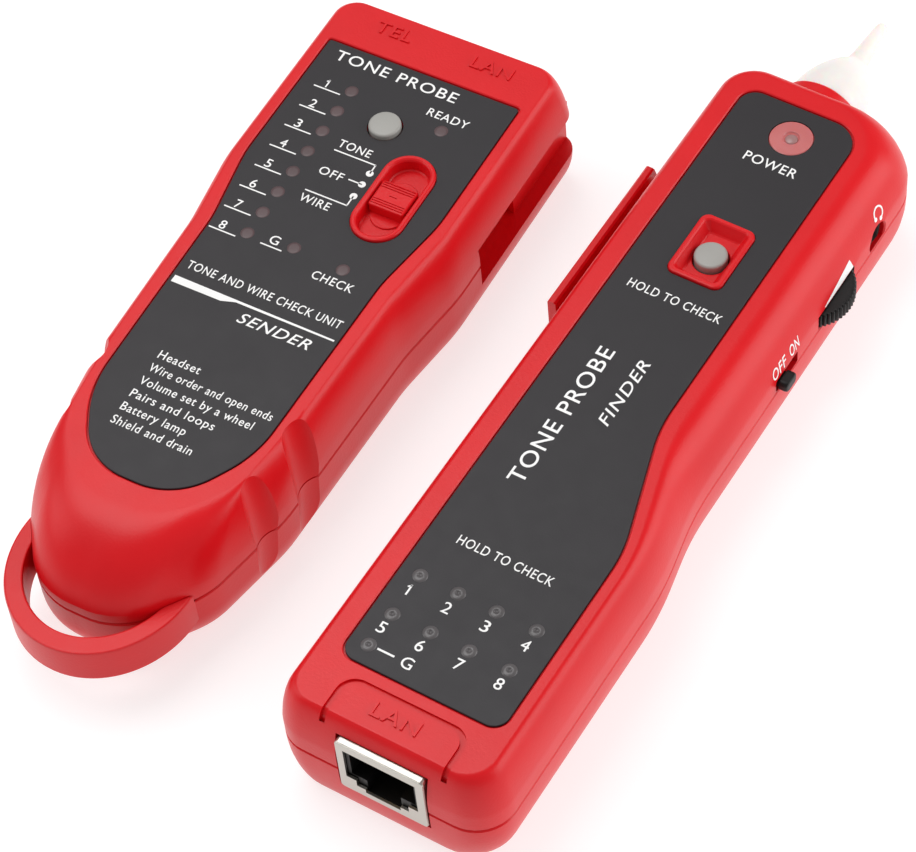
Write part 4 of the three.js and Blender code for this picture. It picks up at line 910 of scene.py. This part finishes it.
def receiver_controls():
    unit = RECEIVER
    wall_x = unit["wall"][3][0]
    cap = button(TEST_BUTTON, unit["deck_z"] - TEST_CAP["below_deck"], TEST_CAP["low"])
    place(cap, "receiver_test_cap", unit, "test_button", "grey_button", ["receiver_test_button"])

    teeth, half = WHEEL["teeth"], WHEEL["thick"] / 2
    angles = np.linspace(0, 2 * math.pi, teeth * WHEEL["steps"], endpoint=False)
    waves = 0.5 + 0.5 * np.cos(angles * teeth)
    centre = np.array([WHEEL["x"], WHEEL["y"]])

    def wheel_ring(radius, knurl):
        reach = radius - knurl * (1 - np.sqrt(waves))
        return centre + np.stack([reach * np.cos(angles), reach * np.sin(angles)], 1)

    def wheel_half(side, edge):
        return [
            (wheel_ring(WHEEL["r"] - inwards, knurl), SIDE_Z + side * (half - down))
            for inwards, knurl, down in edge
        ]

    wheel = loft("wheel", wheel_half(-1, WHEEL_EDGE) + wheel_half(1, WHEEL_EDGE[::-1]))
    place(wheel, "receiver_volume_dial", unit, "volume_wheel", "black_plastic",
          ["receiver_volume_wheel"], sharp=35)

    low_y = POWER_SLOT["y"] - POWER_SLOT["width"] / 2 + GAP
    ring = outline(rounded(POWER_KNOB, low_y + POWER_KNOB["width"] / 2, SIDE_Z))
    middle = ring.mean(0)
    knob = loft("knob", [
        (middle + (ring - middle) * share, wall_x + out) for share, out in POWER_KNOB_LEVELS
    ])
    knob.data.transform(OUT_OF_WALL)
    place(knob, "receiver_power_slider", unit, "power_knob", "black_plastic",
          ["receiver_power_knob"], sharp=40)

    outer, inner = HEADPHONE["socket_r"], HEADPHONE["bore_r"]
    spot = (0, HEADPHONE["y"], SIDE_Z)
    socket = turned("socket", spot, [
        (inner + 0.2, wall_x - 6), (outer, wall_x - 6), (outer, wall_x - 1.2), (outer - 0.25, wall_x - 0.9),
        (inner + 0.2, wall_x - 1.0), (inner, wall_x - 1.4),
    ], 48, "x")
    cut(socket, turned("bore", spot, [(inner, wall_x - 5.5), (inner, wall_x + 1)], 48, "x"))
    place(socket, "receiver_headphone_rim", unit, "receiver", "black_plastic")


def receiver_nose():
    unit = RECEIVER
    centre = (NOSE["x"], NOSE["end_y"], NOSE["z"])
    neck = NOSE["neck_r"]
    cap = turned("nose", centre, [(neck, -5), (neck, 1.35), (6.6, 1.4), *NOSE_PROFILE], 96, "y")
    place(cap, "receiver_nose_cap", unit, "receiver", "white_plastic",
          ["receiver_probe_nose"], sharp=40)


def receiver_jack():
    """The plated shield with its plug mouth, and the eight contact wires behind it."""
    unit = RECEIVER
    half, thick = CONTACTS["width"] / 2, CONTACTS["thick"]
    first_x = JACK["x"] - CONTACTS["pitch"] * (CONTACTS["count"] - 1) / 2
    section = ((-half, 0), (half, 0), (half, thick), (-half, thick))
    wires = []
    for index in range(CONTACTS["count"]):
        x = first_x + CONTACTS["pitch"] * index
        points = [(x + side, y, z + rise) for y, z in CONTACT_PATH for side, rise in section]
        faces = [(3, 2, 1, 0), tuple(range(len(points) - 4, len(points)))]
        for low in range(0, len(points) - 4, 4):
            faces += [(low + k, low + (k + 1) % 4, low + 4 + (k + 1) % 4, low + 4 + k) for k in range(4)]
        wires.append(new_object("wire", points, faces))
    place(merge(wires), "receiver_jack_contacts", unit, "receiver", "brass")

    middle_z, height = (JACK["low"] + JACK["top"]) / 2, JACK["top"] - JACK["low"]
    ring = rectangle(JACK["x"], middle_z, JACK["width"], height, JACK["corner"])
    levels = [(0.0, JACK["depth"]), (0.0, 0.35), (0.1, 0.1), (0.35, 0.0)]
    shield = loft("shield", [(outline(inset(ring, inwards), 6), -depth) for inwards, depth in levels])
    inner = outline(inset(ring, JACK["metal"]), 6)
    hollow = loft("hollow", [(inner, -JACK["depth"] - 1), (inner, -JACK["metal"] - 0.05)])
    plug, shoulder_half, latch = JACK_MOUTH["plug"], JACK_MOUTH["shoulder"], JACK_MOUTH["latch"]
    low, high = JACK["low"] + JACK_MOUTH["low"], JACK["low"] + JACK_MOUTH["high"]
    ledge, latch_low = low - JACK_MOUTH["step"], JACK["low"] + JACK_MOUTH["latch_low"]
    right_half = [
        (latch, latch_low), (latch, ledge), (shoulder_half, ledge), (shoulder_half, low), (plug, low),
        (plug, high),
    ]
    mouth_ring = [(JACK["x"] + x, z) for x, z in right_half]
    mouth_ring += [(JACK["x"] - x, z) for x, z in reversed(right_half)]
    cut(shield, hollow, loft("mouth", [(np.array(mouth_ring), -2.0), (np.array(mouth_ring), 1.0)]))
    shield.data.transform(NEAR_END)
    place(shield, "receiver_jack_can", unit, "receiver", "plated_shield", ["receiver_jack_shield"])


# ---- emitter


def scallops(low, high, lean):
    """Cutters for the finger scallops on both sides: they run towards the port end going up."""
    turns = np.linspace(0, 2 * math.pi, 96, endpoint=False)
    circle = SCALLOP["r"] * np.stack([np.cos(turns), np.sin(turns)], 1)
    seam = EMITTER["seam_z"]
    run = SCALLOP["run"]
    return [
        loft("scallop", [
            (circle + [side * (x - lean * (z - seam)), y + run * (z - seam)], z) for z in (low, high)
        ])
        for x, y in SCALLOP["spots"] for side in (-1, 1)
    ]


def emitter_shells():
    unit = EMITTER
    deck = unit["deck_z"]
    port_y = unit["wall"][5][1]

    def port_holes():
        return [
            box((port["x"] - port["width"] / 2 - GAP, port_y - 6, PORT_LOW - GAP),
                (port["x"] + port["width"] / 2 + GAP, port_y + 3, PORT_HIGH + GAP))
            for port in PORTS
        ]

    def backing(low, high):
        start_y = CHANNEL["from"] - 1.5
        return box((CHANNEL["wall_x"], start_y, low), (CHANNEL["shallow_x"] + 1, port_y - 1, high))

    def channel():
        start, low, high = CHANNEL["from"], CHANNEL["low"], CHANNEL["high"]
        return [
            box((CHANNEL["shallow_x"], start, low), (30, port_y + 3, high)),
            box((CHANNEL["deep_x"], start + 0.01, low + 0.01), (30, CHANNEL["step_y"], high - 0.01)),
        ]

    top = top_blank(unit, "emitter_case_top")
    join(top, well_solid(MODE_WELL, unit), backing(unit["seam_z"] + HALF_SEAM, CHANNEL["roof"]))
    x, y, floor = MODE_WELL["x"], MODE_WELL["y"], deck - MODE_WELL["depth"]
    slot_x, slot_y = MODE_SLOT["width"] / 2, MODE_SLOT["length"] / 2
    slot = box((x - slot_x, y - slot_y, floor - 4), (x + slot_x, y + slot_y, floor + 1))
    cut(
        top, well_cutter(MODE_WELL, unit), slot, button_hole(EMITTER_BUTTON, deck - 6, deck - LABEL_RECESS),
        *port_holes(), *channel(), *scallops(unit["seam_z"] - 1, deck + 1, SCALLOP["lean"]),
    )
    place(top, "emitter_case_top", unit, "emitter", "red_plastic", ["emitter_top_shell"])

    bottom = bottom_blank(unit, "emitter_case_bottom")
    join(bottom, backing(FLOOR, unit["seam_z"] - HALF_SEAM))
    cut(
        bottom, door_recess(*EMITTER_DOOR), *map(screw_hole, EMITTER_SCREWS), *port_holes(), *channel(),
        *scallops(-1, unit["seam_z"] + 1, 0),
    )
    place(bottom, "emitter_case_bottom", unit, "emitter", "red_plastic", ["emitter_bottom_shell"])


def hanging_loop():
    """A flat hoop with softened edges, cut off where it runs into the shell."""
    unit = EMITTER
    angles = np.linspace(0, 2 * math.pi, 160, endpoint=False)
    centre = np.array([LOOP["x"], LOOP["y"]])

    def ellipse(size, change):
        across, along = size[0] + change, size[1] + change
        return centre + np.stack([across * np.cos(angles), along * np.sin(angles)], 1)

    low, high, soft, bevel = LOOP["low"], LOOP["high"], LOOP["soft"], LOOP["bevel"]
    levels = [
        (soft, low), (bevel, low + bevel), (0, low + soft), (0, high - soft), (bevel, high - bevel),
        (soft, high),
    ]
    hoop = loft("hoop", [(ellipse(LOOP["outer"], -inwards), z) for inwards, z in levels])
    hole = loft("hole", [(ellipse(LOOP["inner"], soft), low - 0.01)] + [
        (ellipse(LOOP["inner"], inwards), z) for inwards, z in levels[1:-1]
    ] + [(ellipse(LOOP["inner"], soft), high + 0.01)])
    cut(
        hoop, hole, box((-BEYOND, LOOP["root_y"], 0), (BEYOND, BEYOND, BEYOND)),
        prism(inset(unit["wall"], 1), low - 1, unit["seam_z"] - HALF_SEAM),
        prism(inset(unit["wall"], -0.12), unit["seam_z"] - HALF_SEAM, high + 1),
    )
    place(hoop, "emitter_hanging_loop", unit, "emitter", "red_plastic", sharp=35)


def emitter_label():
    unit = EMITTER
    top = unit["deck_z"] - LABEL_TOP
    button_opening = rod(EMITTER_BUTTON, BUTTON_R + GAP, top - 2, top + 1, 72)
    film = label_film(unit, [well_opening(MODE_WELL, top), button_opening])
    place(film, "emitter_label_film", unit, "emitter", "label_film", ["emitter_label"])

    spots = merge([
        turned("spot", (*spot, top), SPOT_PROFILE, 32) for spot in EMITTER_LAMPS + EMITTER_OTHER_LAMPS
    ])
    place(spots, "emitter_lamp_spots", unit, "emitter", "lamp_lens", look=LAMP_SPOT, sharp=60)

    flats = [words(*word) for word in EMITTER_WORDS] + [words(*EMITTER_NAME, shear=SLANT)]
    flats += [bar(*line) for line in [EMITTER_GROUND_LINE] + MODE_LINES]
    flats += [dot(MODE_STOPS["x"], y, MODE_STOPS["r"]) for y in MODE_STOPS["y"]]
    flats.append((np.array(RULE), [tuple(range(len(RULE)))]))
    numbers = EMITTER_NUMBERS
    for row, (_, lamp_y) in enumerate(EMITTER_LAMPS):
        line_y = lamp_y - numbers["drop"]
        flats += digit(row + 1, numbers["x"], line_y + numbers["above"], numbers["cap"])
        flats.append(bar(numbers["line"][0], line_y, numbers["line"][1], line_y))
    for row, (text, width) in enumerate(FEATURES):
        foot = FEATURE_LINES["first"] - FEATURE_LINES["pitch"] * row
        flats.append(words(text, FEATURE_LINES["x"], foot, width, FEATURE_LINES["cap"]))
    legend = printed(flats, top + INK_LIFT)
    place(legend, "emitter_legend", unit, "emitter", "white_plastic", look=INK)


def mode_knob():
    """The sliding knob: soft edges, three cuts across each end and a small mark in the middle."""
    unit = EMITTER
    x, y, top = MODE_WELL["x"], MODE_WELL["y"], unit["deck_z"] + MODE_KNOB["above_deck"]
    block = flared(rounded(MODE_KNOB, x, y), [
        (0, top - MODE_KNOB["thick"]), (0, top - 0.35), (0.12, top - 0.1), (0.35, top),
    ], 6)

    def groove(half_x, middle_y, half_y):
        deep = MODE_KNOB["rib_deep"]
        return box((x - half_x, middle_y - half_y, top - deep), (x + half_x, middle_y + half_y, top + 1))

    rib_x, rib_y = MODE_KNOB["rib_half"], MODE_KNOB["rib_cut"] / 2
    ribs = [groove(rib_x, y + offset, rib_y) for offset in MODE_KNOB["ribs"]]
    cut(block, *ribs, groove(MODE_KNOB["mark_half"], y, MODE_KNOB["mark_cut"] / 2))
    floor = unit["deck_z"] - MODE_WELL["depth"]
    skirt = flared(rounded(MODE_SKIRT, x, y), [
        (0, floor + 0.06), (0, floor + 0.22), (0.12, floor + 0.3),
    ], 6)
    stem_x, stem_y = MODE_STEM["width"] / 2, MODE_STEM["length"] / 2
    stem_low, stem_high = top - MODE_STEM["to"], top - MODE_STEM["from"]
    stem = box((x - stem_x, y - stem_y, stem_low), (x + stem_x, y + stem_y, stem_high))
    place(merge([block, skirt, stem]), "emitter_mode_slider", unit, "mode_knob", "red_plastic",
          ["emitter_mode_knob"])


def emitter_button():
    unit = EMITTER
    cap = button(EMITTER_BUTTON, unit["deck_z"] + PUSH_CAP["above_deck"], PUSH_CAP["low"])
    place(cap, "emitter_push_cap", unit, "emitter_button", "grey_button", ["emitter_push_button"])


def raised_words():
    """Words moulded into the red shells beside the sockets."""
    def moulded(unit, spelled, name, body):
        low = unit["deck_z"] - MOULDED["sunk"]
        letters = printed([words(*word) for word in spelled], low, MOULDED["rise"])
        place(letters, name, unit, body, "red_plastic")

    moulded(EMITTER, MOULDED_ENDS, "emitter_moulded_words", "emitter")
    moulded(RECEIVER, [MOULDED_NEAR], "receiver_moulded_word", "receiver")


# ---- stage, lights and camera


def stage():
    size = 3.0
    corners = [(-size, -size, 0), (size, -size, 0), (size, size, 0), (-size, size, 0)]
    floor = new_object("floor", corners, [(0, 1, 2, 3)])
    floor.location.z = -0.0002
    pale = (0.4, 0.4, 0.4, 1)
    glow = {"Emission_Color": (1, 1, 1, 1), "Emission_Strength": 0.7}
    paper = material("floor_paper", pale, 0.9, grain=0.1, grain_size=4, blotch=0.01, **glow)
    floor.data.materials.append(paper)

    # Plain colours, so that the plastics look as their base colours say.
    bpy.context.scene.view_settings.view_transform = "Standard"
    world = bpy.data.worlds.new("studio")
    bpy.context.scene.world = world
    world.use_nodes = True
    background = world.node_tree.nodes["Background"]
    background.inputs["Color"].default_value = (1.0, 1.0, 1.0, 1)
    background.inputs["Strength"].default_value = 0.42

    def softbox(name, spot, size_m, power):
        light = bpy.data.lights.new(name, "AREA")
        light.shape = "RECTANGLE"
        light.size, light.size_y = size_m
        light.energy = power
        lamp = bpy.data.objects.new(name, light)
        lamp.location = spot
        lamp.rotation_euler = (-Vector(spot)).to_track_quat("-Z", "Y").to_euler()
        bpy.context.scene.collection.objects.link(lamp)

    softbox("overhead", (-0.35, 0.1, 0.95), (0.8, 0.6), 5.5)
    softbox("right_fill", (0.9, 0.47, 0.36), (1.0, 0.76), 6.8)
    softbox("left_fill", (-0.8, -0.4, 0.5), (0.5, 0.6), 1.6)


def camera():
    """The view point and direction, in the receiver's own frame."""
    spot = RECEIVER["place"] @ Vector(CAMERA["spot"])
    dip, roll = math.radians(CAMERA["dip"]), math.radians(CAMERA["roll"])
    ahead = Vector((*CAMERA["ahead"], 0)).normalized()
    side = Vector((ahead.y, -ahead.x, 0))
    look = ahead * math.cos(dip) - Vector((0, 0, math.sin(dip)))
    above = ahead * math.sin(dip) + Vector((0, 0, math.cos(dip)))
    right = side * math.cos(roll) + above * math.sin(roll)
    up = above * math.cos(roll) - side * math.sin(roll)
    data = bpy.data.cameras.new("camera")
    data.sensor_width = CAMERA["sensor"]
    data.lens = CAMERA["lens"]
    data.clip_start, data.clip_end = 0.01, 10
    made = bpy.data.objects.new("camera", data)
    made.matrix_world = Matrix.Translation(spot) @ Matrix((right, up, -look)).transposed().to_4x4()
    bpy.context.scene.collection.objects.link(made)
    bpy.context.scene.camera = made


camera()
stage()
receiver_shells()
receiver_label()
receiver_side_marks()
receiver_controls()
receiver_nose()
receiver_jack()
emitter_shells()
hanging_loop()
emitter_label()
mode_knob()
emitter_button()
raised_words()

bpy.context.view_layer.update()
